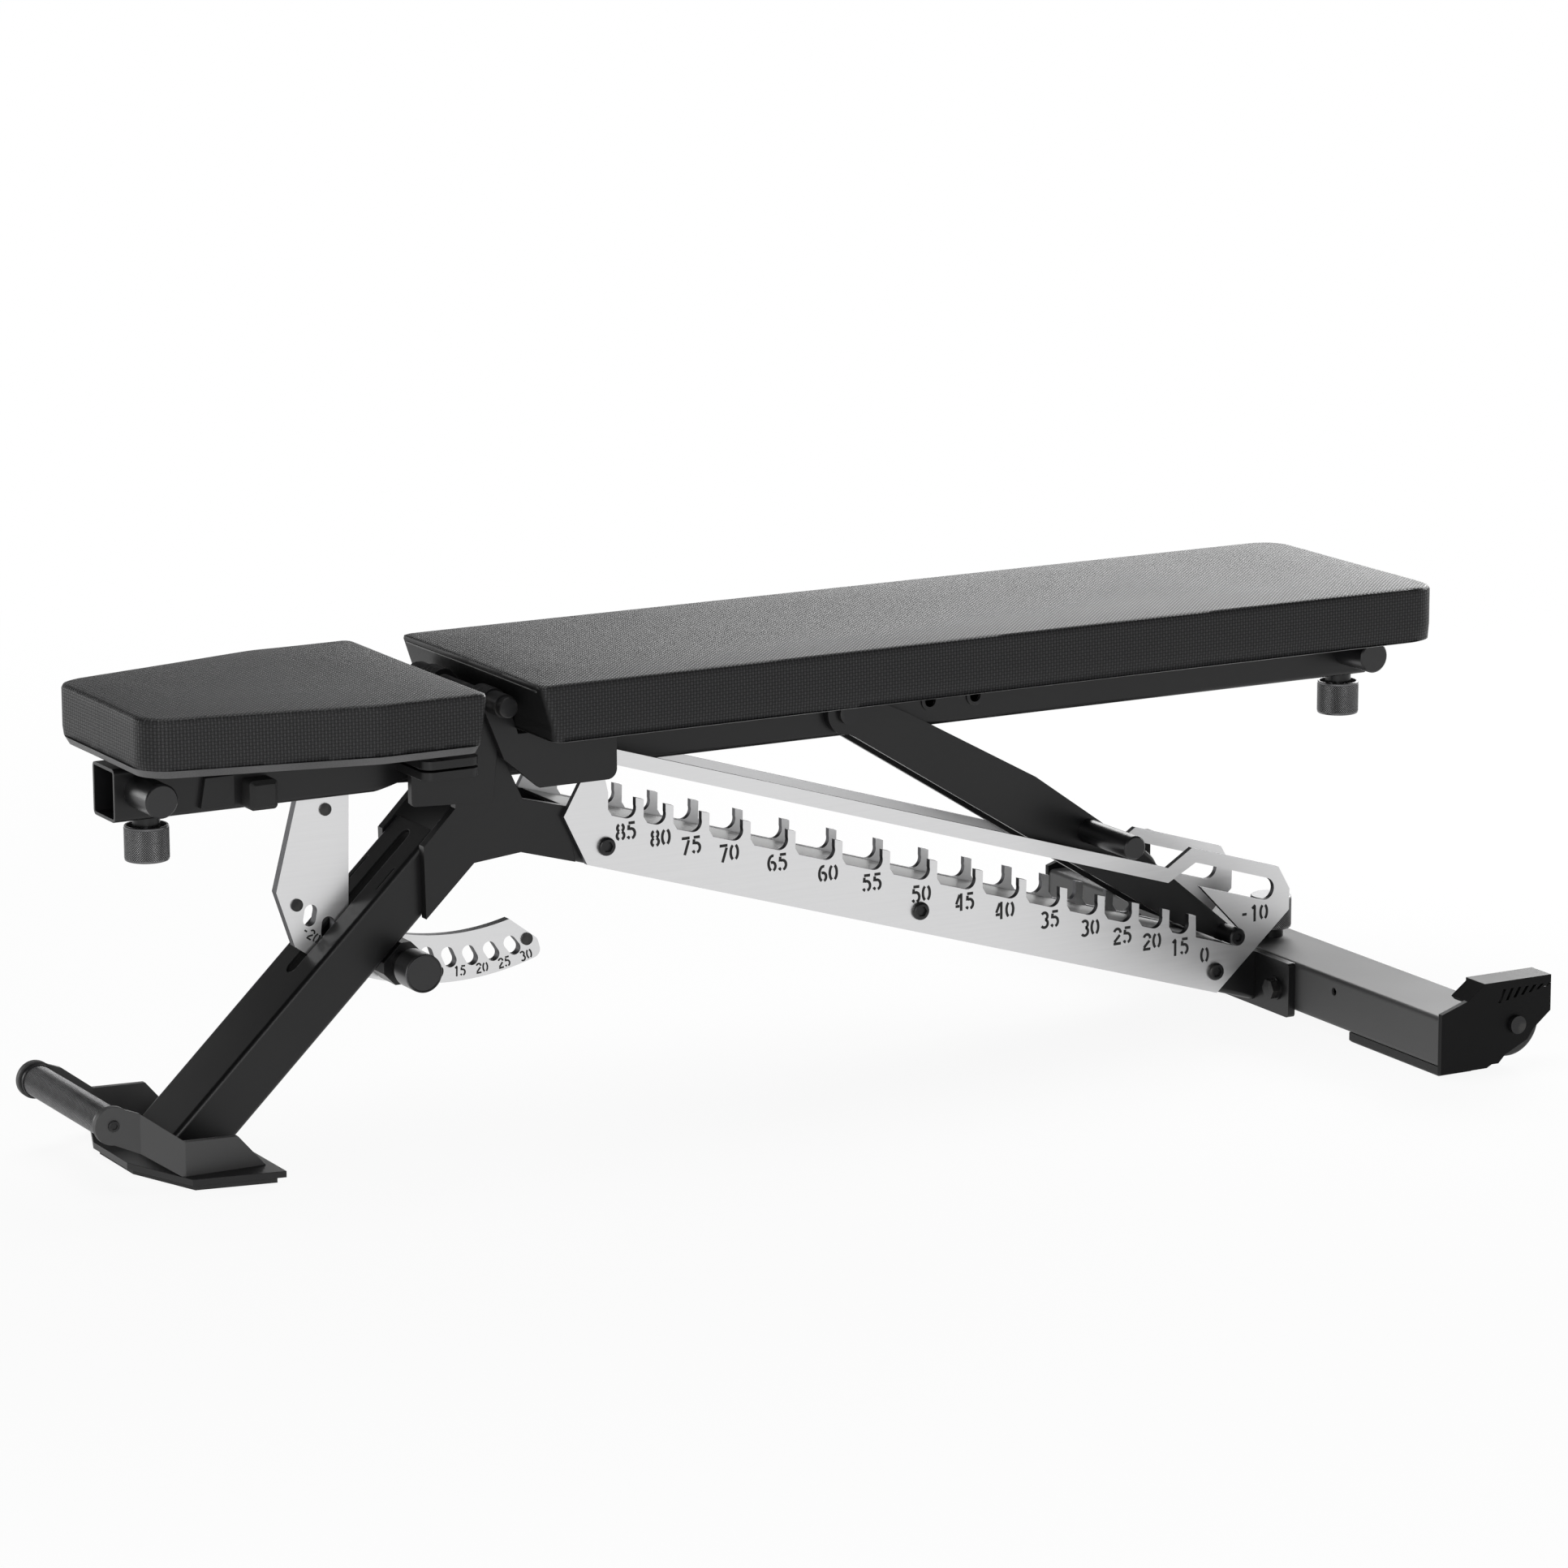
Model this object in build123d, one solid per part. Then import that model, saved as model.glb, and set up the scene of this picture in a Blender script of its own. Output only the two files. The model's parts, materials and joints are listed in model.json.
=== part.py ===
from build123d import *
import os
from math import atan2, cos, degrees, hypot, radians, sin, sqrt, tan

# Adjustable weight bench. Millimetres, +Z up, +X to the head end, origin on the floor
# under the middle of the whole bench. "Left" is the -Y side.

# Pads
PAD_TOP_Z = 440.0
CUSHION_THICK = 44.0
BOARD_THICK = 12.0
PAD_WIDTH = 300.0
SEAT_FRONT_WIDTH = 210.0
BACK_PAD_FRONT_X = -289.5
BACK_PAD_REAR_X = 717.5
SEAT_REAR_X = -340.0
SEAT_KINK_X = -447.5
SEAT_FRONT_X = -664.5
BACK_FRONT_RAKE = 0.337
SEAT_REAR_RAKE = 0.125
BOARD_INSET = 6.0
PAD_TUCK = 1.0
PAD_DRAW_IN = 1.2
PAD_CROWN = 1.0
PAD_EDGE_RADIUS = 4.5
BACK_REAR_CORNER = 28.0
SEAT_FRONT_CORNER = 30.0
SEAT_KINK_CORNER = 60.0
PAD_SMALL_CORNER = 8.0

# Hinge axle, shared by the back and the seat
AXLE_X = -295.5
AXLE_BELOW_TOP = 29.0
AXLE_RADIUS = 8.0
AXLE_CLEAR = 0.08
AXLE_SLEEVE_RADIUS = 11.2
AXLE_SLEEVE_LENGTH = 23.0
AXLE_HEAD_RADIUS = 9.7
AXLE_HEAD_THICK = 8.0
LOBE_RADIUS = 13.0
SIDE_GAP = 0.5

# Tubes
TUBE_WALL = 3.0
TUBE_CORNER = 5.0
PAD_TUBE = 50.0
LEG_WIDTH = 80.0
LEG_DEPTH = 50.0
SPINE_WIDTH = 100.0
SPINE_DEPTH = 50.0
REAR_TUBE_DEPTH = 80.0
REAR_TUBE_HEIGHT = 50.0

# Plates
NECK_THICK = 10.0
LADDER_THICK = 6.0
BRACKET_THICK = 8.0
CROSS_PLATE_THICK = 6.0
CROSS_PLATE_LENGTH = 40.0
CROSS_PLATE_HALF = 105.0
BACK_PLATE_XS = (330.0, 640.0)
SEAT_PLATE_XS = (-600.0, -420.0)
FLANGE_THICK = 8.0
FLANGE_HALF = 111.0
END_PLATE_THICK = 6.0
SECTOR_THICK = 10.0
STRUT_THICK = 8.0
STRUT_GAP = 1.0
FOOT_PLATE_THICK = 6.0

# Floor contact
FRONT_PAD_THICK = 6.0
REAR_PAD_THICK = 10.0
REAR_PAD_LENGTH = 156.0

# Front leg, spine and linkage
LEG_REF_X = -362.5
LEG_REF_BELOW_TUBE = 88.5
LEG_FOOT_X = -600.57
LEG_TOP_REACH = 45.0
SPINE_START_X = -194.0
SPINE_BELOW_TUBE = 87.0
SPINE_END_Z = 9.35
FLAT_PIN_Z = 80.72
FLAT_TO_END = 28.45
STRUT_PIVOT_X = 102.5
STRUT_LENGTH = 514.5
STRUT_PIVOT_RADIUS = 7.0
LADDER_PIN_RADIUS = 9.0
LADDER_PIN_HEIGHT = 60.0
LADDER_PIN_CLEAR = 0.4
LADDER_SIDE_CLEAR = 0.3
NOTCH_ANGLES = (85, 80, 75, 70, 65, 60, 55, 50, 45, 40, 35, 30, 25, 20, 15)
TOOTH_HEIGHT = 72.0
TOOTH_WIDTH = 9.0
TOOTH_SLANT = 7.0
RAIL_LOW = 98.5
RAIL_HIGH = 113.0
RAIL_REAR_HIGH = 138.0
STRUT_HANDLE_ALONG = 312.0
STRUT_HANDLE_ABOVE = 19.0
STRUT_HANDLE_RADIUS = 12.0
STRUT_HANDLE_HALF = 122.0
LADDER_SCREW_FRONT = 14.7
LADDER_SCREW_BEFORE_FLAT = 13.0
LADDER_SCREW_HEIGHT = 21.0

# Seat sector and its pop pin
SECTOR_INNER = 233.5
SECTOR_OUTER = 280.0
SECTOR_ARC_SHIFT = 14.0
SECTOR_SLOT_RADIUS = 256.5
SECTOR_PIN_ANGLE = 19.6
SECTOR_SLOT_LEAN = 118.0
SECTOR_SLOT_WIDTH = 13.0
SECTOR_SLOT_LENGTH = 21.0
SECTOR_LABELS = (-20, -15, -10, -5, 0, 5, 10, 15, 20, 25, 30)
LEG_SLOT_HALF = 8.0
LEG_SLOT_LOW = -140.0
LEG_SLOT_HIGH = 36.0

# Handles, pull pins, wheels, fasteners
SEAT_HANDLE_X = -635.0
BACK_HANDLE_X = 690.0
HANDLE_RADIUS = 16.0
HANDLE_RISE = 2.5
HANDLE_HALF = 75.0
SEAT_PIN_X = -619.5
BACK_PIN_X = 697.3
REAR_PIN_BEHIND = 3.5
PIN_SHAFT_RADIUS = 6.0
PIN_CLEAR = 0.3
PIN_REACH = 10.0
PIN_COLLAR_RADIUS = 13.0
PIN_COLLAR_HEIGHT = 9.5
PIN_KNOB_RADIUS = 20.7
PIN_KNOB_HEIGHT = 33.0
PIN_KNOB_CUP = 5.0
PIN_KNOB_RIM = 2.0
PIN_KNOB_CHAMFER = 0.6
PEG_HOLE_XS = (199.5, 250.5)
PEG_HOLE_RADIUS = 6.0
PEG_BUSH_RADIUS = 7.5
PEG_BUSH_RIM = 9.5
PEG_RIM_THICK = 1.5
REAR_FOOT_HALF = 361.0
WHEEL_RADIUS = 35.0
WHEEL_WIDTH = 24.0
WHEEL_AXLE_RADIUS = 5.0
WHEEL_AXLE_BEHIND = 87.0
WHEEL_AXLE_Z = 44.0
WHEEL_POCKET = 33.0
GRIP_X = -699.5
GRIP_Z = 65.0
GRIP_RADIUS = 14.5
GRIP_HALF = 89.0
GRIP_BOLT_HEAD = 5.5
GRIP_BOLT_THICK = 1.6
LUG_RADIUS = 18.0
SCREW_RADIUS = 4.0
SCREW_CLEAR = 0.3
SCREW_HEAD_RADIUS = 9.0
SCREW_HEAD_THICK = 4.5
FLANGE_BOLT_Y = 87.0
FLANGE_BOLT_RADIUS = 5.0
FLANGE_BOLT_FLATS = 18.0
FLANGE_BOLT_HEAD = 9.0

# Levels that follow from the sizes above
cushion_low = PAD_TOP_Z - CUSHION_THICK
board_low = cushion_low - BOARD_THICK
pad_tube_top = board_low - CROSS_PLATE_THICK
pad_tube_mid = pad_tube_top - PAD_TUBE / 2
pad_tube_low = pad_tube_top - PAD_TUBE
axle_z = PAD_TOP_Z - AXLE_BELOW_TOP
pad_half = PAD_WIDTH / 2
tube_half = PAD_TUBE / 2
neck_in = LEG_WIDTH / 2
neck_out = neck_in + NECK_THICK
seat_bracket_in = neck_out + SIDE_GAP
seat_bracket_out = seat_bracket_in + BRACKET_THICK
back_bracket_in = seat_bracket_out + SIDE_GAP
back_bracket_out = back_bracket_in + BRACKET_THICK
spine_half = SPINE_WIDTH / 2
ladder_out = spine_half + LADDER_THICK
strut_in = tube_half + STRUT_GAP
strut_out = strut_in + STRUT_THICK
foot_top = FRONT_PAD_THICK + FOOT_PLATE_THICK
rear_tube_low = REAR_PAD_THICK
rear_tube_top = rear_tube_low + REAR_TUBE_HEIGHT
leg_ref_z = pad_tube_low - LEG_REF_BELOW_TUBE
leg_angle = degrees(atan2(leg_ref_z - foot_top, LEG_REF_X - LEG_FOOT_X))
strut_drop = pad_tube_mid - FLAT_PIN_Z
spine_start_z = pad_tube_low - SPINE_BELOW_TUBE
spine_end_x = STRUT_PIVOT_X + sqrt(STRUT_LENGTH**2 - strut_drop**2) + FLAT_TO_END
spine_angle = degrees(atan2(SPINE_END_Z - spine_start_z, spine_end_x - SPINE_START_X))
rear_tube_front = spine_end_x + FLANGE_THICK
rear_tube_back = rear_tube_front + REAR_TUBE_DEPTH
AXLE = (AXLE_X, axle_z)


def side_plane(y):
    """Plane at a given Y whose local axes are X and Z."""
    return Plane(origin=(0, y, 0), x_dir=(1, 0, 0), z_dir=(0, -1, 0))


def slab(face, y_low, y_high):
    """Plate made from an X-Z outline, between two Y values."""
    return extrude(side_plane(y_high) * face, amount=y_high - y_low, dir=(0, -1, 0))


def plan_plate(face, z_low, thick):
    """Plate made from an X-Y outline, standing on a given height."""
    return extrude(Plane((0, 0, z_low)) * face, amount=thick, dir=(0, 0, 1))


def rod_y(x, z, radius, y_low, y_high):
    """Round bar along Y."""
    return slab(Pos(x, z) * Circle(radius), y_low, y_high)


def rod_z(x, y, radius, z_low, z_high):
    """Round bar along Z."""
    return extrude(Plane((x, y, z_low)) * Circle(radius), amount=z_high - z_low)


def block(x_low, x_high, y_low, y_high, z_low, z_high):
    """Plain box between two corners."""
    size = (x_high - x_low, y_high - y_low, z_high - z_low)
    return Pos((x_low + x_high) / 2, (y_low + y_high) / 2, (z_low + z_high) / 2) * Box(*size)


def tube(plane, width, depth, length):
    """Rolled rectangular tube along a plane's normal."""
    section = RectangleRounded(width, depth, TUBE_CORNER)
    section -= RectangleRounded(width - 2 * TUBE_WALL, depth - 2 * TUBE_WALL, TUBE_CORNER - TUBE_WALL)
    return extrude(plane * section, amount=length)


def outline(*points):
    return Polygon(*points, align=None)


def other_side(part):
    """Mirror image across the bench's middle plane."""
    return mirror(part, about=Plane.XZ)


def lobe(points, centre, radius):
    """Outline with a round end about a pivot."""
    return outline(*points) + Pos(*centre) * Circle(radius)


def turned(point, centre, angle):
    """Point turned about a centre in the X-Z plane."""
    dx, dz = point[0] - centre[0], point[1] - centre[1]
    c, s = cos(radians(angle)), sin(radians(angle))
    return (centre[0] + dx * c - dz * s, centre[1] + dx * s + dz * c)


def ladder_at(along, height):
    """X and Z of a point given along and above the spine's lower edge."""
    c, s = cos(radians(spine_angle)), sin(radians(spine_angle))
    return (SPINE_START_X + along * c - height * s, spine_start_z + along * s + height * c)


def leg_at(along, across):
    """X and Z of a point given along the leg's axis and across it."""
    c, s = cos(radians(leg_angle)), sin(radians(leg_angle))
    return (LEG_REF_X + along * c - across * s, leg_ref_z + along * s + across * c)


def pivot_over_notches(back_angle):
    """Strut pivot along and above the notch line when the back stands at an angle."""
    pivot = turned((STRUT_PIVOT_X, pad_tube_mid), AXLE, back_angle)
    start = ladder_at(0, LADDER_PIN_HEIGHT)
    dx, dz = pivot[0] - start[0], pivot[1] - start[1]
    c, s = cos(radians(spine_angle)), sin(radians(spine_angle))
    return dx * c + dz * s, dz * c - dx * s


def notch_along(back_angle):
    """Where the strut's pin meets the notch line when the back stands at an angle."""
    along, above = pivot_over_notches(back_angle)
    return along + sqrt(STRUT_LENGTH**2 - above**2)


rest_pin_along = notch_along(0)
notch_angles = [angle for angle in NOTCH_ANGLES if pivot_over_notches(angle)[1] < STRUT_LENGTH]
ladder_screw_rear = rest_pin_along - LADDER_SCREW_BEFORE_FLAT
ladder_screws_along = (LADDER_SCREW_FRONT, (LADDER_SCREW_FRONT + ladder_screw_rear) / 2, ladder_screw_rear)
rest_pin = ladder_at(rest_pin_along, LADDER_PIN_HEIGHT)
strut_angle = degrees(atan2(rest_pin[1] - pad_tube_mid, rest_pin[0] - STRUT_PIVOT_X))


def strut_at(along, above):
    """X and Z of a point given along and above the strut's pivot line at rest."""
    c, s = cos(radians(strut_angle)), sin(radians(strut_angle))
    return (STRUT_PIVOT_X + along * c - above * s, pad_tube_mid + along * s + above * c)


def sector_at(angle, radius):
    """X and Z on the seat sector, angle counted from straight below the axle to the rear."""
    return (AXLE_X + radius * sin(radians(angle)), axle_z - radius * cos(radians(angle)))


slot_middle_now = sector_at(-SECTOR_PIN_ANGLE, SECTOR_SLOT_RADIUS)
slot_lean_now = radians(SECTOR_SLOT_LEAN - SECTOR_PIN_ANGLE)
slot_drop = (SECTOR_SLOT_LENGTH - SECTOR_SLOT_WIDTH) / 2
sector_pin = (slot_middle_now[0] - slot_drop * cos(slot_lean_now), slot_middle_now[1] - slot_drop * sin(slot_lean_now))


def cushion_wire(corners, z, bow):
    """Closed section of a cushion: sides that draw in between rounded corners."""
    count = len(corners)
    edges, ends = [], []
    for i, (x, y, radius) in enumerate(corners):
        here = Vector(x, y, z)
        before = Vector(*corners[i - 1][:2], z)
        after = Vector(*corners[(i + 1) % count][:2], z)
        into, out = (here - before).normalized(), (after - here).normalized()
        turn = radians(into.get_angle(out))
        cut = radius * tan(turn / 2)
        start, end = here - into * cut, here + out * cut
        middle = here + (out - into).normalized() * radius * (1 / cos(turn / 2) - 1)
        edges.append(ThreePointArc(start, middle, end))
        ends.append((start, end))
    sides = []
    for i in range(count):
        start, end = ends[i][1], ends[(i + 1) % count][0]
        along = (end - start).normalized()
        inward = Vector(-along.Y, along.X, 0)
        sides.append(ThreePointArc(start, (start + end) * 0.5 + inward * bow, end))
    loop = [edge for pair in zip(edges, sides) for edge in pair]
    return make_face(loop)


def cushion_levels():
    """Heights, insets and draw-in of the sections from the board to the crown."""
    edge_low = PAD_TOP_Z - PAD_CROWN - PAD_EDGE_RADIUS
    return (
        (cushion_low, PAD_TUCK, 0.3),
        (cushion_low + 3 * PAD_TUCK, 0.0, 0.5),
        ((cushion_low + edge_low) / 2, 0.0, PAD_DRAW_IN),
        (edge_low, 0.0, PAD_DRAW_IN),
        (edge_low + 0.72 * PAD_EDGE_RADIUS, 0.3 * PAD_EDGE_RADIUS, PAD_DRAW_IN),
        (edge_low + PAD_EDGE_RADIUS, PAD_EDGE_RADIUS, 1.0),
        (PAD_TOP_Z, 0.4 * pad_half, 0.3),
    )


def back_corners(z, inset):
    front = BACK_PAD_FRONT_X + (PAD_TOP_Z - z) * BACK_FRONT_RAKE + inset
    rear, half = BACK_PAD_REAR_X - inset, pad_half - inset
    return (
        (front, -half, PAD_SMALL_CORNER),
        (rear, -half, BACK_REAR_CORNER),
        (rear, half, BACK_REAR_CORNER),
        (front, half, PAD_SMALL_CORNER),
    )


def seat_corners(z, inset):
    rear = SEAT_REAR_X - (PAD_TOP_Z - z) * SEAT_REAR_RAKE - inset
    front, half = SEAT_FRONT_X + inset, pad_half - inset
    front_half = SEAT_FRONT_WIDTH / 2 - inset
    return (
        (front, -front_half, SEAT_FRONT_CORNER),
        (SEAT_KINK_X, -half, SEAT_KINK_CORNER),
        (rear, -half, PAD_SMALL_CORNER),
        (rear, half, PAD_SMALL_CORNER),
        (SEAT_KINK_X, half, SEAT_KINK_CORNER),
        (front, front_half, SEAT_FRONT_CORNER),
    )


def cushion(corners):
    sections = [cushion_wire(corners(z, inset), z, bow) for z, inset, bow in cushion_levels()]
    return loft(sections, ruled=True)


def board(corners):
    face = cushion_wire(corners(cushion_low, BOARD_INSET), board_low, 0.3)
    return extrude(face, amount=BOARD_THICK, dir=(0, 0, 1))


def cross_plate(x, half):
    """Pad mounting plate welded on top of a pad tube."""
    plan = RectangleRounded(CROSS_PLATE_LENGTH, 2 * half, 8)
    return extrude(Plane((x, 0, pad_tube_top)) * plan, amount=CROSS_PLATE_THICK)


def pad_tube(x_low, x_high):
    plane = Plane(origin=(x_low, 0, pad_tube_mid), x_dir=(0, 1, 0), z_dir=(1, 0, 0))
    return tube(plane, PAD_TUBE, PAD_TUBE, x_high - x_low)


def pull_pin(face):
    """Collar and plunger of a pull pin that stands on a plane and locks along its normal."""
    collar = extrude(face * Circle(PIN_COLLAR_RADIUS), amount=PIN_COLLAR_HEIGHT)
    collar -= extrude(face * Circle(PIN_SHAFT_RADIUS + PIN_CLEAR), amount=PIN_COLLAR_HEIGHT)
    tip = face.offset(-TUBE_WALL - PIN_REACH)
    knob_face = face.offset(PIN_COLLAR_HEIGHT + PIN_CLEAR)
    shaft_length = TUBE_WALL + PIN_REACH + PIN_COLLAR_HEIGHT + PIN_CLEAR
    plunger = extrude(tip * Circle(PIN_SHAFT_RADIUS), amount=shaft_length)
    plunger = chamfer(plunger.edges().group_by(lambda e: (e.center() - tip.origin).length)[0], 1.5)
    knob = extrude(knob_face * Circle(PIN_KNOB_RADIUS), amount=PIN_KNOB_HEIGHT)
    knob = chamfer(knob.edges().filter_by(GeomType.CIRCLE), PIN_KNOB_CHAMFER)
    cup = Circle(PIN_KNOB_RADIUS - PIN_KNOB_RIM) - Circle(PIN_SHAFT_RADIUS)
    knob -= extrude(knob_face * cup, amount=PIN_KNOB_CUP)
    return collar, plunger + knob


def pin_hole(face, wall):
    """Cutter for a pull pin's way through a tube wall."""
    return extrude(face.offset(-wall - 1) * Circle(PIN_SHAFT_RADIUS + PIN_CLEAR), amount=wall + 1)


def button_screw(x, z, y_face, reach, radius=SCREW_HEAD_RADIUS, thick=SCREW_HEAD_THICK):
    """Button-head socket screw on a -Y face, its shank towards +Y."""
    head = rod_y(x, z, radius, y_face - thick, y_face)
    head = fillet(head.edges().filter_by(GeomType.CIRCLE).sort_by(Axis.Y)[0], thick * 0.6)
    socket = slab(Pos(x, z) * RegularPolygon(0.6 * radius, 6), y_face - thick, y_face - 0.4 * thick)
    return head - socket + rod_y(x, z, SCREW_RADIUS, y_face, y_face + reach)


# Front foot
FOOT_NOSE_X = -664.5
FOOT_NOSE_HALF = 40.0
FOOT_WIDE_X = -634.5
FOOT_WIDE_HALF = 122.0
FOOT_REAR_X = -548.5
FOOT_REAR_HALF = 138.0
FOOT_PAD_INSET = 6.0
FOOT_SIDE_OUT = 110.0
FOOT_SIDE_TOP = 45.0
FOOT_SIDE_REAR_X = -556.5
FOOT_BEND_X = -636.0
FOOT_LUG_BEND_X = -673.5


def foot_plan():
    half = (
        (FOOT_NOSE_X, FOOT_NOSE_HALF),
        (FOOT_WIDE_X, FOOT_WIDE_HALF),
        (FOOT_REAR_X, FOOT_REAR_HALF),
    )
    return outline(*half, *[(x, -y) for x, y in reversed(half)])


def foot_side():
    """Bent side plate: straight beside the leg, toed in, then a lug for the grip."""
    lug_out, thick = GRIP_HALF + FOOT_PLATE_THICK, FOOT_PLATE_THICK
    front = GRIP_X - LUG_RADIUS
    outer = (
        (FOOT_SIDE_REAR_X, -FOOT_SIDE_OUT),
        (FOOT_BEND_X, -FOOT_SIDE_OUT),
        (FOOT_LUG_BEND_X, -lug_out),
        (front, -lug_out),
    )
    inner = [(x, y + thick) for x, y in reversed(outer)]
    strip = plan_plate(outline(*outer, *inner), 0, 2 * FOOT_SIDE_TOP)
    arm = lobe(
        (
            (FOOT_SIDE_REAR_X, foot_top),
            (FOOT_SIDE_REAR_X - 27, FOOT_SIDE_TOP - 2),
            (FOOT_BEND_X, FOOT_SIDE_TOP),
            (FOOT_LUG_BEND_X, GRIP_Z + 8),
            (GRIP_X, GRIP_Z + LUG_RADIUS),
            (GRIP_X, GRIP_Z - LUG_RADIUS),
            (FOOT_LUG_BEND_X, GRIP_Z - 30),
            (FOOT_BEND_X - 3, foot_top),
        ),
        (GRIP_X, GRIP_Z),
        LUG_RADIUS,
    )
    side = strip & slab(arm, -FOOT_SIDE_OUT - 1, 0)
    return side - rod_y(GRIP_X, GRIP_Z, SCREW_RADIUS + SCREW_CLEAR, -FOOT_SIDE_OUT, 0)


front_foot_plate = plan_plate(foot_plan(), FRONT_PAD_THICK, FOOT_PLATE_THICK)
front_foot_pad = plan_plate(offset(foot_plan(), -FOOT_PAD_INSET, kind=Kind.INTERSECTION), 0, FRONT_PAD_THICK)
front_foot_side_left = foot_side()

grip_core = SCREW_RADIUS + SCREW_CLEAR
front_grip = rod_y(GRIP_X, GRIP_Z, GRIP_RADIUS, -GRIP_HALF, GRIP_HALF)
for end in (-1, 1):
    collar_low, collar_high = sorted((end * GRIP_HALF, end * (GRIP_HALF - 6)))
    front_grip += rod_y(GRIP_X, GRIP_Z, GRIP_RADIUS + 1.5, collar_low, collar_high)
front_grip -= rod_y(GRIP_X, GRIP_Z, grip_core, -GRIP_HALF, GRIP_HALF)
grip_bolt = button_screw(
    GRIP_X, GRIP_Z, -GRIP_HALF - FOOT_PLATE_THICK, FOOT_PLATE_THICK + 30, GRIP_BOLT_HEAD, GRIP_BOLT_THICK
)
front_grip_bolts = Compound(children=[grip_bolt, other_side(grip_bolt)])

# Front leg with its through slot for the seat sector and two weld slots
CHEEK_TAB_ALONG = -17.0
CHEEK_TAB_Y = 29.0
CHEEK_TAB_LENGTH = 27.0
CHEEK_TAB_WIDTH = 2.4
leg_length = LEG_TOP_REACH + (leg_ref_z + LEG_DEPTH) / sin(radians(leg_angle))
leg_foot = leg_at(LEG_TOP_REACH - leg_length, 0)
leg_direction = (cos(radians(leg_angle)), 0, sin(radians(leg_angle)))
leg_plane = Plane(origin=(leg_foot[0], 0, leg_foot[1]), x_dir=(0, 1, 0), z_dir=leg_direction)
front_leg = tube(leg_plane, LEG_WIDTH, LEG_DEPTH, leg_length)
front_leg -= block(-900, 0, -LEG_WIDTH, LEG_WIDTH, -400, foot_top)
slot_middle = leg_at((LEG_SLOT_LOW + LEG_SLOT_HIGH) / 2, -LEG_DEPTH)
slot_normal = (-sin(radians(leg_angle)), 0, cos(radians(leg_angle)))
slot_plane = Plane(origin=(slot_middle[0], 0, slot_middle[1]), x_dir=leg_direction, z_dir=slot_normal)
leg_slot = SlotOverall(LEG_SLOT_HIGH - LEG_SLOT_LOW, 2 * LEG_SLOT_HALF)
front_leg -= extrude(slot_plane * leg_slot, amount=2 * LEG_DEPTH)
for side in (-1, 1):
    tab_at = leg_at(CHEEK_TAB_ALONG, LEG_DEPTH / 2 - TUBE_WALL)
    tab_plane = Plane(origin=(tab_at[0], side * CHEEK_TAB_Y, tab_at[1]), x_dir=leg_direction, z_dir=slot_normal)
    front_leg -= extrude(tab_plane * Rectangle(CHEEK_TAB_LENGTH, CHEEK_TAB_WIDTH), amount=TUBE_WALL)

# Neck plates carry the hinge axle and join the leg to the spine
NECK_FRONT = 33.0
NECK_WAIST = 18.5
neck_rear_low = ladder_at(-9.9, 0)
neck_rear_high = ladder_at(-35.5, SPINE_DEPTH)
neck_face = lobe(
    (
        (AXLE_X - LOBE_RADIUS, axle_z),
        (AXLE_X - NECK_FRONT, axle_z - 81),
        (AXLE_X - NECK_FRONT, axle_z - 101),
        leg_at(26, LEG_DEPTH / 2 + 1.4),
        leg_at(-21, -LEG_DEPTH / 2),
        leg_at(49, -LEG_DEPTH / 2),
        ladder_at(-69.6, -1.3),
        neck_rear_low,
        neck_rear_high,
        ladder_at(-82, SPINE_DEPTH - 1.8),
        (AXLE_X + NECK_WAIST, axle_z - 60),
        (AXLE_X + LOBE_RADIUS, axle_z),
    ),
    AXLE,
    LOBE_RADIUS,
)
neck_plate_left = slab(neck_face, -neck_out, -neck_in) - rod_y(*AXLE, AXLE_RADIUS + 0.02, -neck_out, -neck_in)

axle_end = back_bracket_out + SIDE_GAP
hinge_axle = rod_y(*AXLE, AXLE_RADIUS, -axle_end, axle_end)
sleeve_end = axle_end + AXLE_SLEEVE_LENGTH
for end in (-1, 1):
    hinge_axle += rod_y(*AXLE, AXLE_SLEEVE_RADIUS, *sorted((end * axle_end, end * sleeve_end)))
    axle_head = rod_y(*AXLE, AXLE_HEAD_RADIUS, *sorted((end * sleeve_end, end * (sleeve_end + AXLE_HEAD_THICK))))
    hinge_axle += chamfer(axle_head.edges().filter_by(GeomType.CIRCLE), 0.8)

# Spine
spine_direction = (cos(radians(spine_angle)), 0, sin(radians(spine_angle)))
spine_from = ladder_at(-80, SPINE_DEPTH / 2)
spine_plane = Plane(origin=(spine_from[0], 0, spine_from[1]), x_dir=(0, 1, 0), z_dir=spine_direction)
spine_length = (spine_end_x - SPINE_START_X) / cos(radians(spine_angle)) + 4 * SPINE_DEPTH
spine_tube = tube(spine_plane, SPINE_WIDTH, SPINE_DEPTH, spine_length)
spine_tube -= block(spine_end_x, spine_end_x + 400, -SPINE_WIDTH, SPINE_WIDTH, -400, 400)
front_low, front_high = ladder_at(-9.9 + 25.6, -SPINE_DEPTH), ladder_at(-35.5 - 25.6, 2 * SPINE_DEPTH)
front_cut = outline(front_low, front_high, (front_high[0] - 200, front_high[1]), (front_low[0] - 200, front_low[1]))
spine_tube -= slab(front_cut, -SPINE_WIDTH, SPINE_WIDTH)
for along in ladder_screws_along:
    screw_x, screw_z = ladder_at(along, LADDER_SCREW_HEIGHT)
    spine_tube -= rod_y(screw_x, screw_z, SCREW_RADIUS + SCREW_CLEAR, -SPINE_WIDTH, SPINE_WIDTH)


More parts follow.
